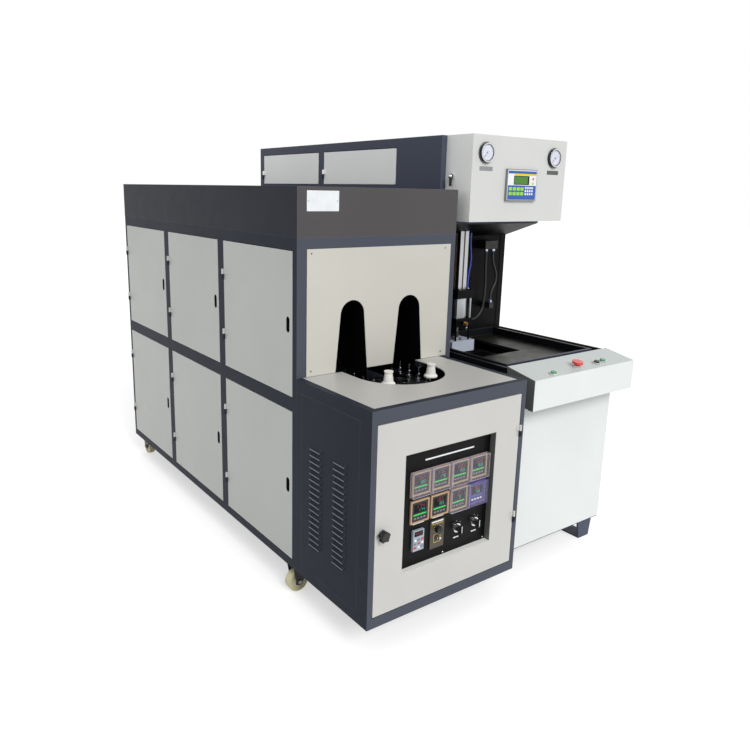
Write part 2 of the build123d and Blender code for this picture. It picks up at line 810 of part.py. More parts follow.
# castors: the stem turns in the corner plate and the wheel on the fork's axle
axle_height = castor_wheel_radius
disc_low = castor_height - castor_crown
bridge_low = disc_low - castor_bridge
wheel_half = castor_wheel_width / 2
leg_in = wheel_half + 2
leg_out = leg_in + castor_leg
leg_rear = castor_trail - castor_leg_half
leg_front = castor_trail + castor_leg_half
for name, x, y, turn in castor_spots:
    with BuildPart() as castor_fork:
        with Locations(Location((x, y, 0), (0, 0, turn))):
            upright(0, 0, disc_low, castor_height - 0.5, castor_plate_radius)
            upright(0, 0, castor_height - 0.5, cabinet_bottom + gusset + 8, stem_radius)
            block(-22, leg_front, -leg_out, leg_out, bridge_low, disc_low)
            for side in (-1, 1):
                ends = sorted((side * leg_in, side * leg_out))
                block(leg_rear, leg_front, ends[0], ends[1], axle_height - 10, bridge_low)
            along_y(castor_trail, -leg_out - 3, leg_out + 3, axle_height, castor_axle_radius)
            if name.startswith("rear"):
                block(leg_front, leg_front + 22, -12, 12, bridge_low, bridge_low + 3)
    castor_fork.part.label = f"{name}_fork"
    export_step(castor_fork.part, f"parts/{name}_fork.step")
    with BuildPart() as castor_wheel:
        with Locations(Location((x, y, 0), (0, 0, turn))):
            along_y(castor_trail, -wheel_half, wheel_half, axle_height, castor_wheel_radius)
            for side in (-1, 1):
                dish = sorted((side * (wheel_half - 3), side * (wheel_half + 1)))
                along_y(castor_trail, dish[0], dish[1], axle_height, 28, mode=Mode.SUBTRACT)
                hub = sorted((side * (wheel_half - 4), side * (wheel_half + 0.5)))
                along_y(castor_trail, hub[0], hub[1], axle_height, 11)
            bore = castor_axle_radius + pin_clearance
            along_y(castor_trail, -leg_in, leg_in, axle_height, bore, mode=Mode.SUBTRACT)
    castor_wheel.part.label = f"{name}_wheel"
    export_step(castor_wheel.part, f"parts/{name}_wheel.step")

# blow station: one welded body with the cabinet behind, the arm above and the table's box in front
body_front = oven_front - blow_body_front
body_rear = oven_rear - blow_rear_inset
throat = oven_front + throat_wall
arm_y = oven_front + arm_front
flap_low = oven_top + flap_clear
flap_high = blow_top - flap_top_inset
flap_rear_high = body_rear - flap_rear_margin
flap_front_low = throat + flap_front_margin
flap_width = (flap_rear_high - flap_front_low - flap_post) / 2
flap_spots = (("front", flap_front_low), ("rear", flap_front_low + flap_width + flap_post))
axis_x = blow_left + 237
axis_y = throat - 50
profile_half = 22
foot_height = blow_bottom
table_under = deck_top - table_depth
arm_low_front = arm_bottom - arm_drop_front
arm_low_rear = arm_bottom - arm_drop_rear


def arm_floor(y):
    # the arm's underside falls towards the throat
    return arm_low_front + (arm_low_rear - arm_low_front) * (y - arm_y) / (throat - arm_y)


with BuildPart() as blow_body:
    block(blow_left, blow_right, throat, body_rear, blow_bottom, blow_top)
    with BuildSketch(Plane.YZ.offset(blow_left)):
        with BuildLine():
            Polyline(
                (arm_y, arm_low_front),
                (throat, arm_low_rear),
                (throat, blow_top),
                (arm_y, blow_top),
                close=True,
            )
        make_face()
    extrude(amount=blow_width)
    block(blow_left, blow_right, body_front, throat, blow_bottom, table_under)
    # posts of the frame that stand out at both sides of the throat wall
    for post_x in (blow_left, blow_right - throat_post):
        post_y = throat - throat_post_proud
        block(post_x, post_x + throat_post, post_y, throat, deck_top + seat_gap, arm_low_rear + 1)
    # cavities behind the skins
    inner_x1 = blow_left + skin
    inner_x2 = blow_right - skin
    inner_low = blow_bottom + skin
    inner_high = blow_top - skin
    block(inner_x1, inner_x2, throat + skin, body_rear - skin, inner_low, inner_high, mode=Mode.SUBTRACT)
    with BuildSketch(Plane.YZ.offset(inner_x1)):
        with BuildLine():
            Polyline(
                (arm_y + skin, arm_floor(arm_y + skin) + skin),
                (throat, arm_low_rear + skin),
                (throat, inner_high),
                (arm_y + skin, inner_high),
                close=True,
            )
        make_face()
    extrude(amount=inner_x2 - inner_x1, mode=Mode.SUBTRACT)
    block(inner_x1, inner_x2, body_front, throat, inner_low, table_under, mode=Mode.SUBTRACT)
    # mouths of the two flaps
    for name, front in flap_spots:
        block(blow_left, blow_left + skin, front, front + flap_width, flap_low, flap_high, mode=Mode.SUBTRACT)
    # way for the stretch cylinder through the arm's floor
    slot_half = profile_half + 1
    block(
        axis_x - slot_half,
        axis_x + slot_half,
        axis_y - slot_half,
        axis_y + slot_half,
        arm_low_rear - skin,
        arm_bottom + skin,
        mode=Mode.SUBTRACT,
    )
    # pressed panels on the open side
    side_outer = blow_right + side_proud
    pressed_low = blow_bottom + pressed_margin
    pressed_high = blow_top - 2 * pressed_margin
    pressed_middle = (throat + body_rear) / 2
    low_y1 = body_front + pressed_margin
    low_y2 = throat - pressed_margin
    block(blow_right, side_outer, low_y1, low_y2, pressed_low, table_under - pressed_margin)
    block(blow_right, side_outer, throat + pressed_margin, pressed_middle - 30, pressed_low, pressed_high)
    block(blow_right, side_outer, pressed_middle + 30, body_rear - pressed_margin, pressed_low, pressed_high)
    # way between the moulds' box and the cabinet behind it
    way_high = table_under - 20
    block(inner_x1, inner_x2, throat - 1, throat + 2 * skin, inner_low, way_high, mode=Mode.SUBTRACT)
    # feet: a tapered bent plate at each corner
    for foot_y, way in ((body_front + foot_inset, 1), (body_rear - foot_inset, -1)):
        for foot_x in (blow_left, blow_right - foot_width):
            with BuildSketch(Plane.XZ.offset(-foot_y)):
                with BuildLine():
                    Polyline(
                        (foot_x, foot_height),
                        (foot_x + foot_width, foot_height),
                        (foot_x + foot_width - foot_taper, 0),
                        (foot_x + foot_taper, 0),
                        close=True,
                    )
                make_face()
            extrude(amount=-foot_plate * way)
            ends = sorted((foot_y, foot_y + foot_length * way))
            block(foot_x + foot_taper, foot_x + foot_width - foot_taper, ends[0], ends[1], 0, foot_plate)
blow_body.part.label = "blow_body"
export_step(blow_body.part, "parts/blow_body.step")

for name, front in flap_spots:
    with BuildPart() as flap:
        y_low = front + door_gap
        y_high = front + flap_width - door_gap
        block(blow_left, blow_left + door_pan, y_low, y_high, flap_low + door_gap, flap_high - door_gap)
        block(
            blow_left + door_sheet,
            blow_left + door_pan,
            y_low + door_sheet,
            y_high - door_sheet,
            flap_low + door_gap + door_sheet,
            flap_high - door_gap - door_sheet,
            mode=Mode.SUBTRACT,
        )
        side_hinge(blow_left, front + flap_width - door_gap / 2, flap_low + 45, -1)
    flap.part.label = f"{name}_flap"
    export_step(flap.part, f"parts/{name}_flap.step")

with BuildPart() as fixed_hinges:
    for row_name, low, high in door_rows:
        for front in door_fronts:
            for z in (low + hinge_inset, high - hinge_inset):
                side_hinge(oven_left, front + door_width - door_gap / 2, z, 1)
    for name, front in flap_spots:
        side_hinge(blow_left, front + flap_width - door_gap / 2, flap_low + 45, 1)
    for z in control_hinge_z:
        front_hinge(control_axis_x, box_front, z, 1)
fixed_hinges.part.label = "fixed_hinges"
export_step(fixed_hinges.part, "parts/fixed_hinges.step")

head_front = oven_front - head_reach
with BuildPart() as head_cover:
    block(blow_left + head_inset, blow_right - head_inset, head_front, arm_y, arm_bottom, blow_top)
    block(
        blow_left + head_inset + sheet,
        blow_right - head_inset - sheet,
        head_front + sheet,
        arm_y,
        arm_bottom + sheet,
        blow_top - sheet,
        mode=Mode.SUBTRACT,
    )
    block(
        blow_left + head_inset + 20,
        blow_right - head_inset - 20,
        head_front + 20,
        arm_y - 15,
        arm_bottom,
        arm_bottom + sheet,
        mode=Mode.SUBTRACT,
    )
head_cover.part.label = "head_cover"
export_step(head_cover.part, "parts/head_cover.step")

gauge_radius = 33
gauge_rim = 4
gauge_proud = 12
dial_proud = 8
pointer_length = 24
gauge_spots = ((blow_left + 88, blow_top - 61), (blow_right - 96, blow_top - 65))
with BuildPart() as gauge_bodies:
    gauge_face = head_front - gauge_proud
    dial_face = head_front - dial_proud
    for x, z in gauge_spots:
        along_y(x, gauge_face, head_front, z, gauge_radius)
        along_y(x, gauge_face, dial_face, z, gauge_radius - gauge_rim, mode=Mode.SUBTRACT)
        along_y(x, gauge_face + 1, dial_face, z, 3)
        with Locations(Location((x - 8, dial_face - 1.5, z - 8), (0, 45, 0))):
            Box(2, 1, pointer_length)
gauge_bodies.part.label = "gauge_bodies"
export_step(gauge_bodies.part, "parts/gauge_bodies.step")

display_left = blow_left + 195
display_width = 162
display_right = display_left + display_width
display_high = blow_top - 112
display_height = 113
display_low = display_high - display_height
display_proud = 9
# screen: middle across and down as shares of the unit, then its width and height
display_screen = (0.47, 0.345, 83, 32)
# keys: middle of the field across and down, columns and rows, pitches, one key's width and height
key_fields = (
    (0.309, 0.695, 4, 2, 20.8, 17, 17, 12),
    (0.735, 0.681, 4, 3, 12, 11, 8.5, 7.5),
)
with BuildPart() as display_unit:
    display_face = head_front - display_proud
    block(display_left, display_right, display_face, head_front, display_low, display_high)
    across, down, screen_width, screen_height = display_screen
    with BuildSketch(Plane.XZ.offset(-display_face)):
        with Locations((display_left + display_width * across, display_high - display_height * down)):
            Rectangle(screen_width, screen_height)
    extrude(amount=-2, mode=Mode.SUBTRACT)
    for across, down, columns, rows, pitch_x, pitch_z, key_width, key_height in key_fields:
        with BuildSketch(Plane.XZ.offset(-display_face)):
            with Locations((display_left + display_width * across, display_high - display_height * down)):
                with GridLocations(pitch_x, pitch_z, columns, rows):
                    RectangleRounded(key_width, key_height, 1)
        extrude(amount=1)
display_unit.part.label = "display_unit"
export_step(display_unit.part, "parts/display_unit.step")

latch_side_x = blow_left + head_inset
latch_side_y = arm_y - 37
latch_side_z = blow_top - 143
latch_boss = 8
latch_lever_out = 12
latch_lever_half = 5
latch_lever_long = 34
latch_lever_short = 8
with BuildPart() as head_latch:
    along_x(latch_side_x - latch_boss, latch_side_x - 0.5, latch_side_y, latch_side_z, 10)
    block(
        latch_side_x - latch_lever_out,
        latch_side_x - latch_boss + 1,
        latch_side_y - latch_lever_half,
        latch_side_y + latch_lever_half,
        latch_side_z - latch_lever_long,
        latch_side_z + latch_lever_short,
    )
head_latch.part.label = "head_latch"
export_step(head_latch.part, "parts/head_latch.step")

# table: a channelled rim round a sunken plate with the mould's mouth in it
table_y = oven_front - table_front
mouth_half = 118
mouth_front = throat - 295
mouth_rear = throat - 22
table_floor = deck_top - table_recess
with BuildPart() as table_top:
    block(blow_left, blow_right, table_y, throat, table_under, deck_top)
    floor_x1 = blow_left + table_rim
    floor_x2 = blow_right - table_rim
    floor_back = throat - 6
    block(floor_x1, floor_x2, table_y + table_rim, floor_back, table_floor, deck_top, mode=Mode.SUBTRACT)
    # channel in the rim along its three open sides
    channel_low = deck_top - channel_depth
    channel_y = table_y + table_lip
    for channel_x in (blow_left + table_lip, blow_right - table_lip - channel_width):
        channel_end = channel_x + channel_width
        block(channel_x, channel_end, channel_y, floor_back, channel_low, deck_top, mode=Mode.SUBTRACT)
    block(
        blow_left + table_lip,
        blow_right - table_lip,
        channel_y,
        channel_y + channel_width,
        channel_low,
        deck_top,
        mode=Mode.SUBTRACT,
    )
    mouth_x1 = axis_x - mouth_half
    mouth_x2 = axis_x + mouth_half
    block(mouth_x1, mouth_x2, mouth_front, mouth_rear, table_under, table_floor, mode=Mode.SUBTRACT)
table_top.part.label = "table_top"
export_step(table_top.part, "parts/table_top.step")

# console: one bent sheet, slope, skirt and return lip
console_front = oven_front - console_reach
console_back = table_y
slope_run = console_back - console_front
slope_rise = slope_back_height - slope_front_height
slope_angle = degrees(atan2(slope_rise, slope_run))
panel_y = body_front - sheet
with BuildPart() as console:
    with BuildSketch(Plane.YZ.offset(blow_left)):
        with BuildLine():
            Polyline(
                (console_back, slope_back_height),
                (console_front, slope_front_height),
                (console_front, skirt_bottom),
                (console_front + console_lip, skirt_bottom),
                (console_front + console_lip, skirt_bottom + console_sheet),
                (console_front + console_sheet, skirt_bottom + console_sheet),
                (console_front + console_sheet, slope_front_height - console_sheet),
                (console_back, slope_back_height - console_sheet),
                close=True,
            )
        make_face()
    extrude(amount=blow_width)
    # a cheek at each end and a web in the middle tie it to the front panel and the table
    for x in (blow_left, (blow_left + blow_right - sheet) / 2, blow_right - sheet):
        with BuildSketch(Plane.YZ.offset(x)):
            with BuildLine():
                Polyline(
                    (console_front + console_sheet, skirt_bottom + console_sheet),
                    (panel_y, skirt_bottom + console_sheet),
                    (panel_y, table_under),
                    (console_back, table_under),
                    (console_back, slope_back_height - console_sheet),
                    (console_front + console_sheet, slope_front_height - console_sheet),
                    close=True,
                )
            make_face()
        extrude(amount=sheet)
console.part.label = "console"
export_step(console.part, "parts/console.step")

with BuildPart() as front_panel:
    block(blow_left, blow_right, panel_y, body_front, blow_bottom + 4, table_under - 2)
front_panel.part.label = "front_panel"
export_step(front_panel.part, "parts/front_panel.step")

# push buttons stand square to the slope
button_spots = (
    ("start_button", blow_left + 112, 0.15),
    ("emergency_button", blow_left + 257, 0.28),
    ("stop_button", blow_left + 362, 0.24),
    ("clamp_button", blow_left + 402, 0.27),
)
bezel_height = 7
bezel_radius = 14
cap_radius = 10
cap_gap = 0.5
cap_low = 4.5
cap_high = 10
mushroom_radius = 19
mushroom_height = 8
with BuildPart() as button_bezels:
    for name, x, along in button_spots:
        centre = (x, console_front + slope_run * along, slope_front_height + slope_rise * along)
        with Locations(Location(centre, (slope_angle, 0, 0))):
            with Locations((0, 0, bezel_height / 2)):
                Cylinder(bezel_radius, bezel_height)
            with Locations((0, 0, bezel_height / 2 + 1)):
                Cylinder(cap_radius + cap_gap, bezel_height, mode=Mode.SUBTRACT)
button_bezels.part.label = "button_bezels"
export_step(button_bezels.part, "parts/button_bezels.step")

for name, x, along in button_spots:
    centre = (x, console_front + slope_run * along, slope_front_height + slope_rise * along)
    stem_high = cap_high + 3 if name == "emergency_button" else cap_high
    with BuildPart() as push_button:
        with Locations(Location(centre, (slope_angle, 0, 0))):
            with Locations((0, 0, (cap_low + stem_high) / 2)):
                Cylinder(cap_radius, stem_high - cap_low)
            if name == "emergency_button":
                with Locations((0, 0, stem_high + mushroom_height / 2)):
                    Cylinder(mushroom_radius, mushroom_height)
    push_button.part.label = name
    export_step(push_button.part, f"parts/{name}.step")

# seal cylinder on the throat wall, with the blow nozzle on its rod
cap_half = 44
cylinder_low = 805
cylinder_high = 954
end_cap = 34
barrel_radius = 36
tie_inset = 8
tie_radius = 4
guide_half = 62
guide_front = axis_y - 46
guide_high = 746
guide_low = 700
guide_bore_radius = 27
port_length = 14
port_half = 7
rod_radius = 12.5
stretch_radius = 6
rod_bore = rod_radius + pin_clearance
stretch_bore = stretch_radius + pin_clearance
nozzle_low = 724
stretch_top = 1500
with BuildPart() as seal_cylinder:
    cap_x1 = axis_x - cap_half
    cap_x2 = axis_x + cap_half
    cap_front = axis_y - cap_half
    block(cap_x1, cap_x2, cap_front, throat, cylinder_low, cylinder_low + end_cap)
    block(cap_x1, cap_x2, cap_front, throat, cylinder_high - end_cap, cylinder_high)
    upright(axis_x, axis_y, cylinder_low, cylinder_high, barrel_radius)
    # guide block for the nozzle, let into the table's mouth and hung from the tie rods
    guide_step = table_floor + seat_gap
    block(axis_x - guide_half, axis_x + guide_half, guide_front, throat - 8, guide_step, guide_high)
    block(axis_x - guide_half, axis_x + guide_half, guide_front, mouth_rear - 2.5, guide_low, guide_step)
    tie_reach = cap_half - tie_inset
    for dx in (-1, 1):
        for dy in (-1, 1):
            tie_x = axis_x + dx * tie_reach
            tie_y = axis_y + dy * tie_reach
            upright(tie_x, tie_y, guide_step, cylinder_high + 6, tie_radius)
    upright(axis_x, axis_y, guide_low - 1, guide_high + 1, guide_bore_radius, mode=Mode.SUBTRACT)
    along_y(axis_x - 14, cap_front - 16, cap_front, cylinder_low + end_cap / 2, 7)
    for port_low in (cylinder_high - 8 - 2 * port_half, cylinder_low + 8):
        port_high = port_low + 2 * port_half
        block(cap_x2, cap_x2 + port_length, axis_y - port_half, axis_y + port_half, port_low, port_high)
    upright(axis_x, axis_y, cylinder_low - 1, cylinder_high - end_cap, rod_bore, mode=Mode.SUBTRACT)
    upright(axis_x, axis_y, cylinder_low, cylinder_high + 1, stretch_bore, mode=Mode.SUBTRACT)
seal_cylinder.part.label = "seal_cylinder"
export_step(seal_cylinder.part, "parts/seal_cylinder.step")

with BuildPart() as blow_nozzle:
    upright(axis_x, axis_y, nozzle_low, nozzle_low + 26, 20)
    upright(axis_x, axis_y, nozzle_low + 6, nozzle_low + 14, 24)
    upright(axis_x, axis_y, nozzle_low + 26, cylinder_high - end_cap - 30, rod_radius)
    upright(axis_x, axis_y, nozzle_low - 1, cylinder_high, stretch_bore, mode=Mode.SUBTRACT)
blow_nozzle.part.label = "blow_nozzle"
export_step(blow_nozzle.part, "parts/blow_nozzle.step")

with BuildPart() as stretch_cylinder:
    block(
        axis_x - profile_half,
        axis_x + profile_half,
        axis_y - profile_half,
        axis_y + profile_half,
        cylinder_high,
        stretch_top,
    )
    for way in (-1, 1):
        groove = sorted((axis_x + way * (profile_half - 5), axis_x + way * profile_half))
        block(groove[0], groove[1], axis_y - 4, axis_y + 4, cylinder_high, stretch_top, mode=Mode.SUBTRACT)
        groove = sorted((axis_y + way * (profile_half - 5), axis_y + way * profile_half))
        block(axis_x - 4, axis_x + 4, groove[0], groove[1], cylinder_high, stretch_top, mode=Mode.SUBTRACT)
    upright(axis_x, axis_y, cylinder_high, stretch_top - 20, stretch_bore, mode=Mode.SUBTRACT)
stretch_cylinder.part.label = "stretch_cylinder"
export_step(stretch_cylinder.part, "parts/stretch_cylinder.step")

with BuildPart() as stretch_rod:
    upright(axis_x, axis_y, nozzle_low + 4, stretch_top - 40, stretch_radius)
stretch_rod.part.label = "stretch_rod"
export_step(stretch_rod.part, "parts/stretch_rod.step")

# tubes between the manifold on the wall and the cylinder's ports
manifold_x = axis_x + 150
manifold_low = 1110
manifold_height = 34
outlet_x = manifold_x + 40
outlet_high = manifold_low - 226
outlet_height = 24
port_x = axis_x + cap_half + port_length / 2
port_z = cylinder_low + 8 + port_half
hose_radius = 5
tube_radius = 4
arm_end = arm_floor(axis_y + tube_radius)
hose_routes = (
    (
        tube_radius,
        (
            (port_x, axis_y, cylinder_high - 8),
            (port_x, axis_y, cylinder_high + 46),
            (port_x + 14, axis_y, cylinder_high + 116),
            (port_x + 4, axis_y, arm_end - 46),
            (port_x + 4, axis_y, arm_end),
        ),
    ),
    (
        hose_radius,
        (
            (manifold_x, axis_y, manifold_low),
            (manifold_x, axis_y, manifold_low - 80),
            (manifold_x + 7, axis_y, port_z + 120),
            (manifold_x - 3, axis_y, port_z + 38),
            (manifold_x - 40, axis_y, port_z),
            (port_x + port_length / 2, axis_y, port_z),
        ),
    ),
    (
        hose_radius,
        (
            (outlet_x, axis_y, manifold_low),
            (outlet_x, axis_y, manifold_low - 48),
            (outlet_x + 35, axis_y, manifold_low - 125),
            (outlet_x, axis_y, outlet_high + 42),
            (outlet_x, axis_y, outlet_high),
        ),
    ),
)


def bend_radii(points):
    # every bend is as wide as its two runs allow
    radii = []
    for before, corner, after in zip(points, points[1:], points[2:]):
        run_in = Vector(*corner) - Vector(*before)
        run_out = Vector(*after) - Vector(*corner)
        half_turn = radians(run_in.get_angle(run_out)) / 2
        radii.append(0.45 * min(run_in.length, run_out.length) / tan(half_turn))
    return radii


with BuildPart() as air_hoses:
    for radius, points in hose_routes:
        with BuildLine() as run:
            FilletPolyline(*points, radius=bend_radii(points))
        first = Vector(*points[0])
        with BuildSketch(Plane(origin=first, z_dir=Vector(*points[1]) - first)):
            Circle(radius)
        sweep(path=run.line)
    block(manifold_x - 16, outlet_x + 16, axis_y - 10, throat, manifold_low, manifold_low + manifold_height)
    block(outlet_x - 12, outlet_x + 12, axis_y - 10, throat, outlet_high - outlet_height, outlet_high)
air_hoses.part.label = "air_hoses"
export_step(air_hoses.part, "parts/air_hoses.step")

# clamp below the table: two platens on four bars
platen_half_gap = 130
platen_thick = 35
platen_half_depth = 130
platen_low = 270
platen_high = 690
bar_radius = 14
bar_spread = 95
bar_inset = 40
bar_rows = (platen_low + bar_inset, platen_high - bar_inset)
bar_spots = [(axis_y + dy * bar_spread, z) for dy in (-1, 1) for z in bar_rows]
with BuildPart() as tie_bars:
    for y, z in bar_spots:
        along_x(blow_left + skin, blow_right - skin, y, z, bar_radius)
tie_bars.part.label = "tie_bars"
export_step(tie_bars.part, "parts/tie_bars.step")

for side, way in (("left", -1), ("right", 1)):
    with BuildPart() as platen:
        faces = sorted((axis_x + way * platen_half_gap, axis_x + way * (platen_half_gap + platen_thick)))
        platen_front = axis_y - platen_half_depth
        platen_rear = axis_y + platen_half_depth
        block(faces[0], faces[1], platen_front, platen_rear, platen_low, platen_high)
        for y, z in bar_spots:
            along_x(faces[0] - 1, faces[1] + 1, y, z, bar_radius + pin_clearance, mode=Mode.SUBTRACT)
    platen.part.label = f"{side}_platen"
    export_step(platen.part, f"parts/{side}_platen.step")

for radius, points in hose_routes:
    print("tube radius", radius, "bend radii", [round(bend) for bend in bend_radii(points)])
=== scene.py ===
import math

import bmesh
import bpy
from mathutils import Matrix, Vector


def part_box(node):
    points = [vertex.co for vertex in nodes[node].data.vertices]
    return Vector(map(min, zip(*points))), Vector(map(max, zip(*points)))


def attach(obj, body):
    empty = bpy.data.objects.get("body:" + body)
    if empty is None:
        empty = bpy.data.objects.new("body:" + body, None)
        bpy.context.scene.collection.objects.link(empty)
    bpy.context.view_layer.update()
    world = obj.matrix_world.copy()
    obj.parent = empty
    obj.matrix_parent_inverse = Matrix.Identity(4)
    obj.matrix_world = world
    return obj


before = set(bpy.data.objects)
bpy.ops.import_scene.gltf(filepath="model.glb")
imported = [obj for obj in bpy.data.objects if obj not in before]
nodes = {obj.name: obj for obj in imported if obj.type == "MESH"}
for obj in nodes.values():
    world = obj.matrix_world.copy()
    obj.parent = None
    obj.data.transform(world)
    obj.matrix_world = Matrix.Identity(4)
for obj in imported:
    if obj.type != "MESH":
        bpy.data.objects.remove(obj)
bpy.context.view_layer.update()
mm = 0.001


# camera, fitted to the long edges of the two cabinets
shot = {
    "place": (-1.693, -2.363, 1.336),
    "turn": -35.56,  # degrees round +Z, 0 looks along +Y
    "dip": 12.69,
    "roll": 1.09,
    "focalPixels": 690.2,
    "centrePixel": 345.9,
    "imagePixels": 750,
    "sensor": 36,
}


def makeCamera():
    turn, dip, roll = (math.radians(shot[k]) for k in ("turn", "dip", "roll"))
    ahead = Vector((-math.sin(turn) * math.cos(dip), math.cos(turn) * math.cos(dip), -math.sin(dip)))
    right = Vector((math.cos(turn), math.sin(turn), 0))
    up = right.cross(ahead)
    rolledRight = math.cos(roll) * right + math.sin(roll) * up
    rolledUp = -math.sin(roll) * right + math.cos(roll) * up
    data = bpy.data.cameras.new("camera")
    data.sensor_width = shot["sensor"]
    data.lens = shot["focalPixels"] / shot["imagePixels"] * shot["sensor"]
    offCentre = (shot["imagePixels"] / 2 - shot["centrePixel"]) / shot["imagePixels"]
    data.shift_x = offCentre
    data.shift_y = -offCentre
    camera = bpy.data.objects.new("camera", data)
    columns = Matrix((rolledRight, rolledUp, -ahead)).transposed().to_4x4()
    camera.matrix_world = Matrix.Translation(shot["place"]) @ columns
    bpy.context.scene.collection.objects.link(camera)
    bpy.context.scene.camera = camera


makeCamera()
print("camera set")


# colour and node helpers
def linear(hexText):
    # sRGB hex to the linear colour that a socket takes
    parts = [int(hexText[i:i + 2], 16) / 255 for i in (1, 3, 5)]
    return [p / 12.92 if p <= 0.04045 else ((p + 0.055) / 1.055) ** 2.4 for p in parts] + [1]


def addNode(tree, kind, settings=None, links=None):
    # settings are node attributes or input values, links go into named inputs
    node = tree.nodes.new(kind)
    for name, value in (settings or {}).items():
        if isinstance(name, int) or name in node.inputs:
            node.inputs[name].default_value = value
        else:
            setattr(node, name, value)
    for name, socket in (links or {}).items():
        tree.links.new(socket, node.inputs[name])
    return node


def startMaterial(name):
    material = bpy.data.materials.new(name)
    material.use_nodes = True
    tree = material.node_tree
    tree.nodes.clear()
    place = addNode(tree, "ShaderNodeTexCoord")
    return material, tree, place.outputs["Object"]


def endMaterial(tree, settings, links):
    shader = addNode(tree, "ShaderNodeBsdfPrincipled", settings, links)
    addNode(tree, "ShaderNodeOutputMaterial", {}, {"Surface": shader.outputs[0]})


def mottle(tree, place, sizeMm, least, most):
    # noise of that size, spread between two values
    noise = addNode(
        tree, "ShaderNodeTexNoise", {"Scale": 1000 / sizeMm, "Detail": 3},
        {"Vector": place},
    )
    spread = addNode(
        tree, "ShaderNodeMapRange",
        {"From Min": 0.3, "From Max": 0.7, "To Min": least, "To Max": most},
        {"Value": noise.outputs[0]},
    )
    return spread.outputs[0]


# powder coating baked on folded sheet: a soft sheen, faint orange peel,
# and paler on edges, partly wear where the coat thins and partly painted highlight
def powderCoat(name, hexText, edgeWearAndHighlightHex, roughness=0.42, peelMm=5, specular=0.5):
    material, tree, place = startMaterial(name)
    cloud = mottle(tree, place, 380, 0.965, 1.035)  # slow drift in shade over a sheet
    tint = addNode(
        tree, "ShaderNodeMix",
        {"data_type": "RGBA", "blend_type": "MULTIPLY", 0: 1.0, 6: linear(hexText)},
        {7: cloud},
    )
    rounded = addNode(tree, "ShaderNodeBevel", {"samples": 4, "Radius": 1.6 * mm})
    flat = addNode(tree, "ShaderNodeNewGeometry")
    agree = addNode(
        tree, "ShaderNodeVectorMath", {"operation": "DOT_PRODUCT"},
        {0: rounded.outputs[0], 1: flat.outputs["Normal"]},
    )
    # painted highlight mixed with edge wear: a paler colour along every edge that the bevel finds
    edgeWearAndHighlightShare = addNode(
        tree, "ShaderNodeMapRange",
        {"From Min": 0.99, "From Max": 0.8, "To Min": 0.0, "To Max": 0.55},
        {"Value": agree.outputs["Value"]},
    )
    edgeWearAndHighlight = addNode(
        tree, "ShaderNodeMix", {"data_type": "RGBA", 7: linear(edgeWearAndHighlightHex)},
        {0: edgeWearAndHighlightShare.outputs[0], 6: tint.outputs[2]},
    )
    # real peel is about 1.5 mm across, drawn coarser here so that it shows
    peel = addNode(
        tree, "ShaderNodeTexNoise", {"Scale": 1000 / peelMm, "Detail": 1.5},
        {"Vector": place},
    )
    bump = addNode(
        tree, "ShaderNodeBump", {"Strength": 0.12, "Distance": 0.4 * mm},
        {"Height": peel.outputs[0], "Normal": rounded.outputs[0]},
    )
    sheen = mottle(tree, place, 60, roughness - 0.02, roughness + 0.03)
    endMaterial(
        tree, {"Metallic": 0.0, "IOR": 1.5, "Specular IOR Level": specular},
        {"Base Color": edgeWearAndHighlight.outputs[2], "Roughness": sheen, "Normal": bump.outputs[0]},
    )
    return material


# metal with its working marks drawn out along one axis: ground, brushed or drawn;
# real marks are some tenths of a millimetre wide, drawn coarser here so that they show
def workedMetal(name, hexText, roughness, grainMm, stretch, depth=0.15):
    material, tree, place = startMaterial(name)
    drawn = addNode(tree, "ShaderNodeMapping", {"Scale": stretch}, {"Vector": place})
    grain = addNode(
        tree, "ShaderNodeTexNoise", {"Scale": 1000 / grainMm, "Detail": 4},
        {"Vector": drawn.outputs[0]},
    )
    shade = addNode(
        tree, "ShaderNodeMapRange",
        {"From Min": 0.3, "From Max": 0.7, "To Min": 0.86, "To Max": 1.08},
        {"Value": grain.outputs[0]},
    )
    tint = addNode(
        tree, "ShaderNodeMix",
        {"data_type": "RGBA", "blend_type": "MULTIPLY", 0: 1.0, 6: linear(hexText)},
        {7: shade.outputs[0]},
    )
    rounded = addNode(tree, "ShaderNodeBevel", {"samples": 4, "Radius": 0.8 * mm})
    bump = addNode(
        tree, "ShaderNodeBump", {"Strength": depth, "Distance": 0.2 * mm},
        {"Height": grain.outputs[0], "Normal": rounded.outputs[0]},
    )
    gloss = mottle(tree, place, 45, roughness - 0.05, roughness + 0.08)
    endMaterial(
        tree, {"Metallic": 1.0},
        {"Base Color": tint.outputs[2], "Roughness": gloss, "Normal": bump.outputs[0]},
    )
    return material


# injection-moulded plastic: even colour, a fine spark-eroded grain from the mould
def mouldedPlastic(name, hexText, roughness, coat=0.0):
    grainMm = 2.5  # real grain is about 0.1 mm, drawn coarser so that it shows
    material, tree, place = startMaterial(name)
    cloud = mottle(tree, place, 40, 0.95, 1.05)
    tint = addNode(
        tree, "ShaderNodeMix",
        {"data_type": "RGBA", "blend_type": "MULTIPLY", 0: 1.0, 6: linear(hexText)},
        {7: cloud},
    )
    rounded = addNode(tree, "ShaderNodeBevel", {"samples": 4, "Radius": 0.7 * mm})
    grain = addNode(
        tree, "ShaderNodeTexNoise", {"Scale": 1000 / grainMm, "Detail": 2},
        {"Vector": place},
    )
    bump = addNode(
        tree, "ShaderNodeBump", {"Strength": 0.1, "Distance": 0.15 * mm},
        {"Height": grain.outputs[0], "Normal": rounded.outputs[0]},
    )
    gloss = mottle(tree, place, 18, roughness - 0.04, roughness + 0.05)
    endMaterial(
        tree, {"IOR": 1.5, "Coat Weight": coat},
        {"Base Color": tint.outputs[2], "Roughness": gloss, "Normal": bump.outputs[0]},
    )
    return material


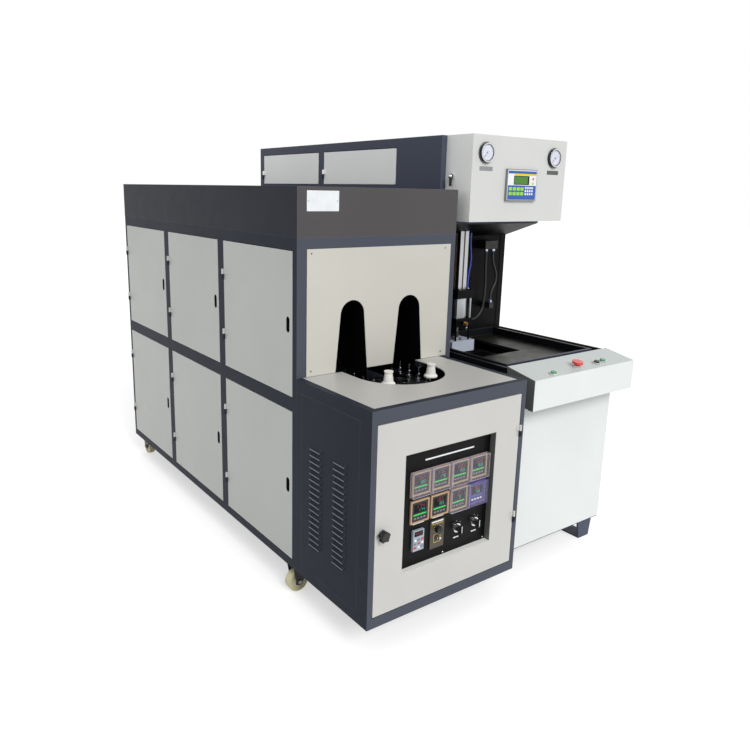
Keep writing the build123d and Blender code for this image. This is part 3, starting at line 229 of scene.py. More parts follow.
# clear moulded cover or lens: thin, so it lets most light straight through
def clearPlastic(name, hexText, alpha, roughness=0.08):
    material, tree, place = startMaterial(name)
    haze = mottle(tree, place, 25, roughness, roughness + 0.1)
    endMaterial(
        tree, {"Base Color": linear(hexText), "Alpha": alpha, "IOR": 1.49},
        {"Roughness": haze},
    )
    return material


# lit segment or lamp: shows its own colour a little above the print around it
def litPlastic(name, hexText, strength):
    material, tree, place = startMaterial(name)
    cell = mottle(tree, place, 6, 0.85, 1.0)
    tint = addNode(
        tree, "ShaderNodeMix",
        {"data_type": "RGBA", "blend_type": "MULTIPLY", 0: 1.0, 6: linear(hexText)},
        {7: cell},
    )
    endMaterial(
        tree, {"Roughness": 0.35, "Emission Strength": strength},
        {"Base Color": tint.outputs[2], "Emission Color": tint.outputs[2]},
    )
    return material


# finish, colour, colour on edges (wear and painted highlight), roughness; several parts have lit or
# shaded copies of one paint, which are painted light and shade, each marked below
coats = {
    "slateCoat": powderCoat("slatePowderCoat", "#2a2e38", "#5f6574", 0.46, specular=0.06),
    # painted light: front-facing faces of the oven body and control box in a paler copy of the slate
    "litFrameSlate": powderCoat("frontFrameSlatePaintedLight", "#4d515c", "#848a99", 0.46, specular=0.1),
    # painted light: the blow station's slate drawn paler than the oven's, for the light its sides catch
    "litStationSlate": powderCoat("stationSlatePaintedLight", "#4a4f5f", "#7c8292", 0.46, specular=0.15),
    # painted highlight: the louvre panel's slate with brighter edges, and a pale coat on each louvre's
    # lip
    "louvreSlateHighlit": powderCoat("louvreSlatePaintedHighlight", "#2a2e38", "#8d93a3", 0.46, specular=0.06),
    "louvreLipHighlight": powderCoat("louvreLipPaintedHighlight", "#8d93a3", "#b4b9c5", 0.4, specular=0.3),
    "hoodCoat": powderCoat("hoodPowderCoat", "#292c34", "#5c5e66", 0.46, specular=0.08),
    # painted light: the hood's front faces in a paler, warmer copy of its slate
    "litHoodFront": powderCoat("hoodFrontPaintedLight", "#545153", "#8a898d", 0.46, specular=0.1),
    "doorCoat": powderCoat("doorPowderCoat", "#bcbfbb", "#eceeea"),
    # painted light: the blow station's flaps drawn near-white, for the light that falls on them
    "litFlapCoat": powderCoat("flapPaintedLight", "#fdfffd", "#ffffff"),
    "creamCoat": powderCoat("frontPowderCoat", "#c8c7c3", "#f4f3ee"),
    "sheetCoat": powderCoat("frontSheetPowderCoat", "#c7c5bc", "#f4f3ee"),
    # painted shade: the deck in a darker copy of the cream, for the shade under the tunnels
    "shadedDeckCoat": powderCoat("deckPaintedShade", "#b7b6b2", "#f0efe9"),
    # painted highlight: a near-white coat on the edges of the arches and of the window
    "cutEdgeHighlight": powderCoat("cutEdgePaintedHighlight", "#f1f1ec", "#fafafa"),
    "headCoat": powderCoat("headPowderCoat", "#d3d4d1", "#f4f5f3"),
    # painted light: the head cover's left-facing faces in a paler copy of its paint
    "litHeadSide": powderCoat("headSidePaintedLight", "#f3f5f3", "#f4f5f3"),
    "whiteCoat": powderCoat("stationPowderCoat", "#e1e5e4", "#fafbfa"),
    # painted shade: the console's upward faces in a darker copy of its white
    "shadedConsoleTop": powderCoat("consoleTopPaintedShade", "#bdc3c2", "#f6f8f7"),
    # painted shade: the console's left end drawn dark grey, for the shade beside the control box
    "shadedConsoleEnd": powderCoat("consoleEndPaintedShade", "#6e716f", "#8b8e8c"),
    # painted shade: the right-hand reveal of the control door's window drawn dark grey
    "shadedReveal": powderCoat("windowRevealPaintedShade", "#5f625e", "#a5a8a4"),
    # black paint of the seal cylinder's caps, and painted shade inside the throat
    "blackCoatAndThroatShade": powderCoat("blackCoatAndThroatPaintedShade", "#0b0b0d", "#2d2f35", 0.45, specular=0.08),
    "rimCoat": powderCoat("tableRimBlackCoat", "#111216", "#5c5f62", 0.4, specular=0.15),
    "rimFront": powderCoat("tableFrontRimCoat", "#3a3d4b", "#6b6f7f", 0.42, specular=0.15),
    "forkCoat": powderCoat("castorForkZincBlack", "#1b1b1d", "#7c7c80", 0.35, specular=0.4),
    "panelBlack": powderCoat("panelBlackEnamel", "#060607", "#1d1e22", 0.4, specular=0.12),
    "heatBlack": powderCoat("heatBlackenedSteel", "#09090a", "#4b4c50", 0.4, 9, specular=0.2),
}
# finish, colour, roughness, size of the marks in mm, their stretch along the axes, depth
metals = {
    "groundSteel": workedMetal("groundSteel", "#8d8c88", 0.34, 6, (1, 0.08, 1)),
    # painted shade: the table plate's steel drawn near-black, for the shade that it lies in
    "shadedTablePlate": workedMetal("tablePlateSteelPaintedShade", "#3e3f39", 0.42, 8, (0.1, 1, 1)),
    "bezelSteel": workedMetal("gaugeRimSteel", "#4a4c51", 0.3, 4, (1, 1, 1)),
    "polishedSteel": workedMetal("polishedSteel", "#c6c8ca", 0.14, 5, (1, 1, 0.2), 0.05),
    "chromePlate": workedMetal("chromePlate", "#dcdee0", 0.07, 5, (1, 1, 1), 0.02),
    "anodisedAluminium": workedMetal("anodisedAluminium", "#b9bcbf", 0.32, 4, (1, 1, 0.05)),
    "brassTurned": workedMetal("turnedBrass", "#b98d42", 0.24, 3, (1, 1, 0.3)),
    "warmAluminium": workedMetal("goldAnodisedAluminium", "#8d7457", 0.34, 4, (1, 1, 0.05)),
    "darkChain": workedMetal("oiledChainSteel", "#4c4c4e", 0.36, 5, (1, 1, 1)),
}
# plastics, rubber and the lit or clear parts of the instruments
plastics = {
    "blackAbs": mouldedPlastic("blackAbs", "#141416", 0.38),
    "greyAbs": mouldedPlastic("greyAbs", "#7d7f82", 0.45),
    "tanAbs": mouldedPlastic("tanAbsBezel", "#b8997a", 0.42),
    "violetAbs": mouldedPlastic("violetAbsBezel", "#5b4fa0", 0.4),
    "keypadGrey": mouldedPlastic("paleKeypadAbs", "#a3b1bb", 0.42),
    "bronzeFace": mouldedPlastic("bronzeFacePlate", "#463f34", 0.4),
    "whiteNylon": mouldedPlastic("whiteNylon", "#e4e2dc", 0.36),
    "creamWheel": mouldedPlastic("creamPolyurethane", "#cdc8a3", 0.4),
    "blastedAluminium": mouldedPlastic("blastedAluminium", "#b9c0ce", 0.5),  # too matt to glint
    "blackRubber": mouldedPlastic("blackRubberHose", "#121212", 0.5),
    "bluePu": mouldedPlastic("bluePolyurethaneTube", "#1c34b8", 0.25, coat=0.4),
    "redCap": mouldedPlastic("redButtonCap", "#d3211c", 0.28, coat=0.5),
    "greenCap": mouldedPlastic("greenButtonCap", "#0c8a4a", 0.28, coat=0.5),
    "membraneBlue": mouldedPlastic("blueMembrane", "#2456a8", 0.35),
    "membraneWhite": mouldedPlastic("whiteMembrane", "#e8ecef", 0.35),
    "membraneYellow": mouldedPlastic("yellowMembrane", "#f1c21b", 0.35),
    "limeKey": mouldedPlastic("limeKey", "#95d63a", 0.4),
    "dialWhite": mouldedPlastic("dialWhite", "#dfe1f2", 0.5),
    "violetFace": mouldedPlastic("violetMeterFace", "#36387c", 0.35),
    "captionGrey": mouldedPlastic("captionGrey", "#8b8d8e", 0.5),
    "captionDark": mouldedPlastic("darkCaptionPlate", "#505354", 0.5),
    "lcdGreen": litPlastic("greenLcd", "#3f7a1e", 0.15),
    "ledRed": litPlastic("redSegments", "#7d2c33", 0.35),
    "ledTeal": litPlastic("tealSegments", "#1f9a84", 0.6),
    "stripGreen": litPlastic("greenStrip", "#22cf5a", 0.5),
    "lampRed": litPlastic("redLamp", "#e8262a", 0.4),
    "clearCover": clearPlastic("clearMeterCover", "#cdc8d4", 0.08),
    "coverEdge": clearPlastic("polishedCoverEdge", "#c9c2d6", 0.72),
    "lensGlass": clearPlastic("gaugeLens", "#f4f6f8", 0.12, 0.03),
    "quartz": clearPlastic("quartzTube", "#e9e6df", 0.5, 0.05),
}
print("materials made")


# CAD nodes get their finish, some by the faces that lie in a region
def dress(nodeName, base, regions=()):
    node = nodes[nodeName]
    mesh = node.data
    mesh.materials.clear()
    mesh.materials.append(base)
    for index, (material, holds) in enumerate(regions, 1):
        mesh.materials.append(material)
        for face in mesh.polygons:
            if holds(face.center, face.normal):
                face.material_index = index


low = {name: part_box(name)[0] for name in nodes}
high = {name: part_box(name)[1] for name in nodes}
ovenLeft, ovenRight = low["oven_hood"].x, high["oven_hood"].x
ovenFront = low["oven_hood"].y
panelFace = low["control_box"].y + 22 * mm  # the instrument panel lies behind the door's face
headFront, headLeft = low["head_cover"].y, low["head_cover"].x
deckTop = high["deck_plate"].z
blowLeft, blowRight = low["table_top"].x, high["table_top"].x
throatWall = high["table_top"].y
armLow = low["head_cover"].z

# chromed rings round the two selectors
selectorRing = {"columns": (361, 438), "height": 317, "radius": 16}


def onSelectorRing(centre, normal):
    for column in selectorRing["columns"]:
        dx = centre.x - (ovenLeft + column * mm)
        dz = centre.z - selectorRing["height"] * mm
        if math.hypot(dx, dz) < selectorRing["radius"] * mm and centre.y < panelFace - 0.2 * mm:
            return True
    return False


# painted shade: the inside of the throat, between deck and arm, drawn near-black
def inThroat(centre, normal):
    insideX = blowLeft + 1 * mm < centre.x < blowRight - 1 * mm
    frontOfWall = centre.y < throatWall + 1 * mm and centre.z > deckTop
    return insideX and frontOfWall and centre.z < armLow + 4 * mm


# painted highlight on the cut edges of the two arches in the front sheet, well inside its sides and top
arches = {"side": 60, "top": 20}


def onCutEdge(centre, normal):
    insideX = ovenLeft + arches["side"] * mm < centre.x < ovenRight - arches["side"] * mm
    insideZ = centre.z < high["oven_front_panel"].z - arches["top"] * mm
    return insideX and insideZ and abs(normal.y) < 0.5


# edges of the window in the control door, which lie within these limits; they carry a painted highlight
windowHole = {"left": 100, "right": 510, "low": 235, "high": 620}


def onWindowLip(centre, normal):
    insideX = ovenLeft + windowHole["left"] * mm < centre.x < ovenLeft + windowHole["right"] * mm
    insideZ = windowHole["low"] * mm < centre.z < windowHole["high"] * mm
    return insideX and insideZ and centre.y < panelFace and abs(normal.y) < 0.5


# painted shade on the window's right-hand reveal
def onRightReveal(centre, normal):
    return onWindowLip(centre, normal) and normal.x < -0.5


# the violet meter is the last one of the lower row
lastMeter = {"left": 395, "top": 460}


def onLastMeter(centre, normal):
    return centre.x > ovenLeft + lastMeter["left"] * mm and centre.z < lastMeter["top"] * mm


def onMeterBack(centre, normal):
    return centre.y > panelFace + 1 * mm


def facesFront(centre, normal):
    return normal.y < -0.7


def facesLeft(centre, normal):
    return normal.x < -0.7


# painted highlight on the outer lip of each louvre, where the light catches it
def onLouvreLip(centre, normal):
    return centre.x < low["louvre_panel"].x + 0.3 * mm


# table: a raised rim round a steel plate that lies lower
table = {"rim": 49, "rimHeight": 32, "plateDrop": 30}


def onFrontRim(centre, normal):
    inRim = centre.y < low["table_top"].y + table["rim"] * mm
    return inRim and centre.z > deckTop - table["rimHeight"] * mm


def onTablePlate(centre, normal):
    return abs(centre.z - deckTop + table["plateDrop"] * mm) < 1 * mm


# painted shade on the console's left end
def onConsoleEnd(centre, normal):
    return normal.x < -0.5 and centre.x < blowLeft + 1 * mm


# blind finger pulls, each 26 mm in from the door's front edge and half way up
fingerPull = {"inset": 26, "halfWidth": 10.5, "halfHeight": 25.5, "depth": 11.5}


def inFingerPull(name):
    pullY = low[name].y + fingerPull["inset"] * mm
    pullZ = (low[name].z + high[name].z) / 2

    def holds(centre, normal):
        inDepth = 0.3 * mm < centre.x - ovenLeft < fingerPull["depth"] * mm
        inWidth = abs(centre.y - pullY) < fingerPull["halfWidth"] * mm
        return inDepth and inWidth and abs(centre.z - pullZ) < fingerPull["halfHeight"] * mm

    return holds


# where a node changes its finish: heights, and lengths from a neighbour, in mm
mandrel = {"seat": 747}
chain = {"spindles": 714}
latchPlate = {"reach": 7.5}
barrel = {"low": 839, "high": 920, "guideHigh": 747}
blueTube = {"reach": 50, "low": 930}

for name in nodes:
    if name.endswith("_door") and name != "control_door":
        dress(name, coats["doorCoat"], [(plastics["blackAbs"], inFingerPull(name))])
    if name.endswith("_flap"):
        dress(name, coats["litFlapCoat"])
    if name.endswith("_fork"):
        dress(name, coats["forkCoat"])
    if name.endswith("_wheel"):
        dress(name, plastics["creamWheel"])
    if name.endswith("_platen"):
        dress(name, metals["groundSteel"])
    if name.endswith("_selector"):
        dress(name, plastics["blackAbs"])
    if name.endswith("_mandrel"):
        dress(name, metals["polishedSteel"], [
            (plastics["whiteNylon"], lambda c, n: c.z > mandrel["seat"] * mm),
        ])

# painted light: the oven body's front faces paler than its sides
dress("oven_body", coats["slateCoat"], [(coats["litFrameSlate"], facesFront)])
dress("fixed_hinges", coats["slateCoat"])
dress("oven_hood", coats["hoodCoat"], [(coats["litHoodFront"], facesFront)])
dress("oven_front_panel", coats["sheetCoat"], [(coats["cutEdgeHighlight"], onCutEdge)])
dress("deck_plate", coats["shadedDeckCoat"])
dress("tunnel_liners", coats["heatBlack"])
# painted light: the control box's front faces paler than its sides
dress("control_box", coats["slateCoat"], [(coats["litFrameSlate"], facesFront)])
dress("louvre_panel", coats["louvreSlateHighlit"], [(coats["louvreLipHighlight"], onLouvreLip)])
dress("control_door", coats["creamCoat"], [
    (coats["cutEdgeHighlight"], onWindowLip),
    (coats["shadedReveal"], onRightReveal),
])
dress("instrument_panel", coats["panelBlack"], [(metals["chromePlate"], onSelectorRing)])
dress("meter_housings", plastics["tanAbs"], [
    (plastics["violetAbs"], onLastMeter),
    (plastics["blackAbs"], onMeterBack),
])
dress("meter_covers", plastics["clearCover"])
dress("drive_keypad", plastics["keypadGrey"])
dress("speed_plate", plastics["bronzeFace"])
dress("speed_knob", plastics["blackAbs"])
dress("toggle_lever", metals["chromePlate"])
dress("latch_knob", plastics["blackAbs"])
dress("conveyor", metals["darkChain"], [
    (metals["polishedSteel"], lambda c, n: c.z > chain["spindles"] * mm),
])
dress("lamp_tubes", plastics["quartz"])
# painted shade inside the throat, on the blow station's body
dress("blow_body", coats["litStationSlate"], [(coats["blackCoatAndThroatShade"], inThroat)])
dress("head_cover", coats["headCoat"], [(coats["litHeadSide"], facesLeft)])
dress("gauge_bodies", metals["chromePlate"], [(metals["bezelSteel"], lambda c, n: n.y > -0.5)])
dress("display_unit", plastics["greyAbs"])
dress("head_latch", plastics["blackAbs"], [
    (metals["chromePlate"], lambda c, n: c.x > headLeft - latchPlate["reach"] * mm),
])
dress("table_top", coats["rimCoat"], [
    (coats["rimFront"], onFrontRim),
    (metals["shadedTablePlate"], onTablePlate),
])
dress("console", coats["whiteCoat"], [
    (coats["shadedConsoleTop"], lambda c, n: n.z > 0.3),
    (coats["shadedConsoleEnd"], onConsoleEnd),
])
dress("front_panel", coats["whiteCoat"])
dress("button_bezels", metals["chromePlate"])
dress("start_button", plastics["greenCap"])
dress("emergency_button", plastics["redCap"])
dress("stop_button", plastics["blackAbs"])
dress("clamp_button", plastics["greenCap"])
dress("seal_cylinder", coats["blackCoatAndThroatShade"], [
    (metals["anodisedAluminium"], lambda c, n: barrel["low"] * mm < c.z < barrel["high"] * mm),
    (plastics["blastedAluminium"], lambda c, n: c.z < barrel["guideHigh"] * mm),
])
dress("stretch_cylinder", metals["anodisedAluminium"], [
    (metals["warmAluminium"], lambda c, n: abs(n.x) > 0.5),
])
dress("blow_nozzle", metals["polishedSteel"])
dress("stretch_rod", metals["chromePlate"])
blueSide = high["stretch_cylinder"].x + blueTube["reach"] * mm
dress("air_hoses", plastics["blackRubber"], [
    (plastics["bluePu"], lambda c, n: c.x < blueSide and c.z > blueTube["low"] * mm),
])
dress("tie_bars", metals["polishedSteel"])
print("nodes dressed")


# mesh helpers: chamfered plates, turned forms and extruded outlines
sharpFrom = 32  # degrees between two faces


def finishPiece(name, shape, materials, body):
    bmesh.ops.remove_doubles(shape, verts=shape.verts, dist=1e-7)
    bmesh.ops.recalc_face_normals(shape, faces=shape.faces)
    mesh = bpy.data.meshes.new(name)
    shape.to_mesh(mesh)
    shape.free()
    for material in materials:
        mesh.materials.append(material)
    mesh.shade_smooth()
    mesh.set_sharp_from_angle(angle=math.radians(sharpFrom))
    piece = bpy.data.objects.new(name, mesh)
    bpy.context.scene.collection.objects.link(piece)
    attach(piece, body)


def bridgeRings(shape, first, second, index):
    count = len(first)
    for i in range(count):
        j = (i + 1) % count
        face = shape.faces.new((first[i], first[j], second[j], second[i]))
        face.material_index = index


def outlinePoints(width, height, radius):
    # corners of a rounded rectangle, anticlockwise, round its middle
    steps = 4  # faces round each corner
    radius = max(min(radius, width / 2, height / 2), 1e-5)
    points = []
    for quarter, (sx, sz) in enumerate(((1, 1), (-1, 1), (-1, -1), (1, -1))):
        cx, cz = sx * (width / 2 - radius), sz * (height / 2 - radius)
        for step in range(steps + 1):
            angle = math.pi / 2 * (quarter + step / steps)
            points.append((cx + radius * math.cos(angle), cz + radius * math.sin(angle)))
    return points


def frontPlate(shape, x, z, width, height, back, front, radius, index=0, chamfer=0.3 * mm):
    # plate that faces -Y, from y back to y front, all in metres
    rings = []
    for y, inset in ((back, 0), (front + chamfer, 0), (front, chamfer)):
        points = outlinePoints(width - 2 * inset, height - 2 * inset, radius - inset)
        rings.append([shape.verts.new((x + px, y, z + pz)) for px, pz in points])
    bridgeRings(shape, rings[0], rings[1], index)
    bridgeRings(shape, rings[1], rings[2], index)
    for ring in (rings[0], rings[2]):
        shape.faces.new(ring).material_index = index


def printMark(shape, x, z, size, face, radius, index=0, thick=0.2, chamfer=0.05):
    # thin plate or print on a face that looks along -Y, its own sizes in mm
    width, height = (v * mm for v in size)
    frontPlate(shape, x, z, width, height, face, face - thick * mm, radius * mm, index, chamfer * mm)


def turnedForm(shape, centre, axis, profile, index=0, steps=28, capped=True):
    # profile is (radius, height along axis) from one end to the other
    turn = Vector((0, 0, 1)).rotation_difference(Vector(axis).normalized()).to_matrix()
    rings = []
    for radius, height in profile:
        if radius < 1e-6:
            rings.append([shape.verts.new(Vector(centre) + turn @ Vector((0, 0, height)))])
            continue
        ring = []
        for i in range(steps):
            angle = 2 * math.pi * i / steps
            local = Vector((radius * math.cos(angle), radius * math.sin(angle), height))
            ring.append(shape.verts.new(Vector(centre) + turn @ local))
        rings.append(ring)
    for first, second in zip(rings, rings[1:]):
        if len(first) == 1 or len(second) == 1:
            tip, ring = (first[0], second) if len(first) == 1 else (second[0], first)
            for i in range(steps):
                shape.faces.new((ring[i], ring[(i + 1) % steps], tip)).material_index = index
        else:
            bridgeRings(shape, first, second, index)
    for ring in (rings[0], rings[-1]) if capped else ():
        if len(ring) > 1:
            shape.faces.new(ring).material_index = index


def extrudedOutline(shape, points, push, index=0):
    # flat outline carried along the push vector
    near = [shape.verts.new(point) for point in points]
    far = [shape.verts.new(point + push) for point in points]
    bridgeRings(shape, near, far, index)
    for ring in (near, far):
        shape.faces.new(ring).material_index = index


# panel meters: a dark face in each bezel with segments, a green strip and a row of keys
meter = {
    "firstX": 201, "pitchX": 79, "rows": (505, 417), "columns": 4, "violet": 7,
    "face": 61, "recess": 4, "window": (46, 27), "windowRise": 10,
    "strip": (50, 3.2), "stripDrop": 10, "key": (8, 5), "keyPitch": 12, "keyDrop": 21,
    "digit": (7, 11), "digitPitch": 12, "digitRises": (16, 3.5), "digitScales": (1.0, 0.75),
    "lowerShift": 6,
    "readings": ("182", "176", "190", "168", "174", "185", "0", "96"),
}
segments = {
    "0": "abcdef", "1": "bc", "2": "abged", "3": "abgcd", "4": "fgbc",
    "5": "afgcd", "6": "afgedc", "7": "abc", "8": "abcdefg", "9": "abcdfg",
}


def meterSpots():
    # number of each meter, its middle across in metres and its height in mm
    for row, z in enumerate(meter["rows"]):
        for column in range(meter["columns"]):
            x = ovenLeft + (meter["firstX"] + column * meter["pitchX"]) * mm
            yield row * meter["columns"] + column, x, z


def addDigit(shape, x, z, width, height, figure, y, index):
    bar = height * 0.13
    spots = {
        "a": (0, height / 2, width, bar), "g": (0, 0, width, bar), "d": (0, -height / 2, width, bar),
        "b": (width / 2, height / 4, bar, height / 2), "c": (width / 2, -height / 4, bar, height / 2),
        "f": (-width / 2, height / 4, bar, height / 2), "e": (-width / 2, -height / 4, bar, height / 2),
    }
    for letter in segments[figure]:
        dx, dz, wide, tall = spots[letter]
        frontPlate(shape, x + dx, z + dz, wide, tall, y, y - 0.25 * mm, bar / 2, index, 0.05 * mm)


def meterFace(number, x, z):
    shape = bmesh.new()
    y = panelFace - meter["recess"] * mm
    size = meter["face"] * mm
    frontPlate(shape, x, z, size, size, y + 0.2 * mm, y - 0.7 * mm, 1.5 * mm, 0)
    y -= 0.7 * mm
    printMark(shape, x, z + meter["windowRise"] * mm, meter["window"], y, 1, 1, 0.3, 0.1)
    reading = meter["readings"][number]
    for row, (rise, scale) in enumerate(zip(meter["digitRises"], meter["digitScales"])):
        wide, tall = (v * scale * mm for v in meter["digit"])
        for i, figure in enumerate(reading):
            dx = (i - (len(reading) - 1) / 2) * meter["digitPitch"] * scale * mm
            digitX = x + dx + row * meter["lowerShift"] * mm
            addDigit(shape, digitX, z + rise * mm, wide, tall, figure, y - 0.3 * mm, 2 + row)
    printMark(shape, x, z - meter["stripDrop"] * mm, meter["strip"], y, 1, 4)
    for i in range(4):
        keyX = x + (i - 1.5) * meter["keyPitch"] * mm
        printMark(shape, keyX, z - meter["keyDrop"] * mm, meter["key"], y, 1.5, 5, 0.8, 0.3)
    violet = number == meter["violet"]
    materials = [
        plastics["violetFace" if violet else "blackAbs"], coats["panelBlack"],
        plastics["ledRed"], plastics["ledTeal"],
        plastics["membraneBlue" if violet else "stripGreen"],
        plastics["membraneWhite" if violet else "greyAbs"],
    ]
    finishPiece(f"meter_face_{number + 1}", shape, materials, "control_door")


for number, x, z in meterSpots():
    meterFace(number, x, z * mm)

# polished edges of the clear covers, where the moulding catches the light
cover = {"half": 38, "front": 16, "back": 1.6, "edge": 1.4, "open": (4, 5)}


def coverEdges(number, x, z):
    shape = bmesh.new()
    half, edge = cover["half"] * mm, cover["edge"] * mm
    front, back = panelFace - cover["front"] * mm, panelFace - cover["back"] * mm

    def bar(barX, barZ, width, height, fromY, toY):
        frontPlate(shape, barX, barZ, width, height, fromY, toY, edge / 2, 0, 0.2 * mm)

    for way in (-1, 1):
        for y in (front, back):
            bar(x + way * half, z, edge, 2 * half, y + 0.8 * mm, y - 0.3 * mm)
            bar(x, z + way * half, 2 * half, edge, y + 0.8 * mm, y - 0.3 * mm)
        for rise in (-1, 1):
            bar(x + way * half, z + rise * half, edge, edge, back, front)
    look = plastics["violetAbs" if number == meter["violet"] else "coverEdge"]
    finishPiece(f"cover_edges_{number + 1}", shape, [look], "control_door")


# the two meters without a cover have a white strip below them instead
meterStrip = {"drop": 41, "size": (44, 3)}

for number, x, z in meterSpots():
    if number not in cover["open"]:
        coverEdges(number, x, z * mm)
        continue
    shape = bmesh.new()
    printMark(shape, x, (z - meterStrip["drop"]) * mm, meterStrip["size"], panelFace, 1, 0, 0.3, 0.1)
    finishPiece(f"meter_caption_{number + 1}", shape, [plastics["membraneWhite"]], "control_door")
print("meters made")


# raised domed screws; the curve is in shares of radius and dome
screw = {"radius": 3.2, "dome": 1.6, "curve": ((1, 0), (1, 0.4), (0.75, 0.85), (0.3, 1), (0, 1))}


def addScrew(shape, x, z, face, index=0, scale=1.0):
    radius, rise = screw["radius"] * scale * mm, screw["dome"] * scale * mm
    profile = [(radius * u, rise * v) for u, v in screw["curve"]]
    turnedForm(shape, (x, face, z), (0, -1, 0), profile, index, 14)


# two rows of three at the edges of the instrument panel
panelScrew = {"left": 132, "right": 482, "heights": (250, 606)}


def panelScrews():
    shape = bmesh.new()
    left, right = ovenLeft + panelScrew["left"] * mm, ovenLeft + panelScrew["right"] * mm
    for x in (left, (left + right) / 2, right):
        for z in panelScrew["heights"]:
            addScrew(shape, x, z * mm, panelFace)
    finishPiece("panel_screws", shape, [metals["polishedSteel"]], "control_door")


panelScrews()

# front sheet screws, near its corners
frontScrews = {"spots": ((51, 1148), (601, 1148), (51, 780), (601, 780))}
shape = bmesh.new()
for x, z in frontScrews["spots"]:
    addScrew(shape, ovenLeft + x * mm, z * mm, low["oven_front_panel"].y)
finishPiece("front_sheet_screws", shape, [metals["groundSteel"]], "base")

# drive keypad: lit window and coloured keys over the moulded ones
keypad = {
    "x": 197, "z": 325, "depth": 9, "window": (33, 16), "windowRise": 21.5,
    "reading": "450", "digit": (5, 9), "digitPitch": 9,
    "key": (9, 7), "keyTop": 3, "keyPitch": (14, 12),
}


def keypadDress():
    shape = bmesh.new()
    x, z = ovenLeft + keypad["x"] * mm, keypad["z"] * mm
    face = panelFace - keypad["depth"] * mm
    windowZ = z + keypad["windowRise"] * mm
    wide, tall = (v * mm for v in keypad["window"])
    frontPlate(shape, x, windowZ, wide, tall, face + 0.9 * mm, face + 0.4 * mm, 1 * mm, 0)
    wide, tall = (v * mm for v in keypad["digit"])
    for i, figure in enumerate(keypad["reading"]):
        digitX = x + (i - 1) * keypad["digitPitch"] * mm
        addDigit(shape, digitX, windowZ, wide, tall, figure, face + 0.4 * mm, 1)
    wide, tall = (v * mm for v in keypad["key"])
    pitchX, pitchZ = keypad["keyPitch"]
    for row in range(3):
        for column in range(3):
            keyX = x + (column - 1) * pitchX * mm
            keyZ = z + (keypad["keyTop"] - pitchZ * row) * mm
            frontPlate(shape, keyX, keyZ, wide, tall, face - 1.2 * mm, face - 1.8 * mm, 1.2 * mm,
                       2 + (row + column) % 3)
    materials = [
        coats["panelBlack"], plastics["ledRed"],
        plastics["membraneWhite"], plastics["greyAbs"], plastics["redCap"],
    ]
    finishPiece("keypad_keys", shape, materials, "control_door")


keypadDress()

# speed plate: scale ticks round the knob, a pale field with a yellow line above it,
# and a yellow frame round the toggle
speed = {
    "x": 276, "knobZ": 338, "toggleZ": 308, "top": 368, "depth": 4,
    "field": (46, 5), "fieldDrop": 5, "line": (46, 1.8), "lineDrop": 12,
    "ticks": 11, "sweep": 140, "tickRadius": 14.5, "tick": (1.6, 1.6),
    "frame": 26, "frameLine": 1.4,
}


def speedPlateDress():
    shape = bmesh.new()
    x = ovenLeft + speed["x"] * mm
    face = panelFace - speed["depth"] * mm
    printMark(shape, x, (speed["top"] - speed["fieldDrop"]) * mm, speed["field"], face, 1)
    printMark(shape, x, (speed["top"] - speed["lineDrop"]) * mm, speed["line"], face, 0.5, 1)
    for i in range(speed["ticks"]):
        angle = math.radians(-speed["sweep"] + 2 * speed["sweep"] * i / (speed["ticks"] - 1))
        dx = math.sin(angle) * speed["tickRadius"] * mm
        dz = math.cos(angle) * speed["tickRadius"] * mm
        printMark(shape, x + dx, speed["knobZ"] * mm + dz, speed["tick"], face, 0.8)
    side, line = speed["frame"], speed["frameLine"]
    for dz in (-side / 2, side / 2):
        printMark(shape, x, (speed["toggleZ"] + dz) * mm, (side, line), face, 0.5, 1)
    for dx in (-side / 2, side / 2):
        printMark(shape, x + dx * mm, speed["toggleZ"] * mm, (line, side), face, 0.5, 1)
    materials = [plastics["membraneWhite"], plastics["membraneYellow"]]
    finishPiece("speed_plate_marks", shape, materials, "control_door")


speedPlateDress()

# white index lines on the two selectors
indexLine = {"size": (2.2, 22), "rise": 2}
for side, column in zip(("left", "right"), selectorRing["columns"]):
    shape = bmesh.new()
    face = low[f"{side}_selector"].y
    wide, tall = (v * mm for v in indexLine["size"])
    lineZ = selectorRing["height"] * mm + indexLine["rise"] * mm
    frontPlate(shape, ovenLeft + column * mm, lineZ, wide, tall,
               face + 0.1 * mm, face - 0.25 * mm, 1 * mm, 0, 0.1 * mm)
    finishPiece(f"{side}_selector_index", shape, [plastics["membraneWhite"]], f"{side}_selector")

# plain strips where the panel has its heading and captions, and ticks by the selectors
marks = {
    "heading": (318, 572), "headingSize": (200, 5), "stripZ": 284, "strip": (22, 4),
    "tickTurns": (-45, 0, 45), "tickRadius": 22, "tick": (2, 2),
}
shape = bmesh.new()
headingX, headingZ = ovenLeft + marks["heading"][0] * mm, marks["heading"][1] * mm
printMark(shape, headingX, headingZ, marks["headingSize"], panelFace, 2, 0, 0.3, 0.1)
for column in selectorRing["columns"]:
    columnX = ovenLeft + column * mm
    for turn in marks["tickTurns"]:
        dx = math.sin(math.radians(turn)) * marks["tickRadius"] * mm
        dz = math.cos(math.radians(turn)) * marks["tickRadius"] * mm
        tickZ = selectorRing["height"] * mm + dz
        printMark(shape, columnX + dx, tickZ, marks["tick"], panelFace, 1, 0, 0.3, 0.1)
    printMark(shape, columnX, marks["stripZ"] * mm, marks["strip"], panelFace, 1, 0, 0.3, 0.1)
finishPiece("panel_marks", shape, [plastics["membraneWhite"]], "control_door")
print("panel dressed")

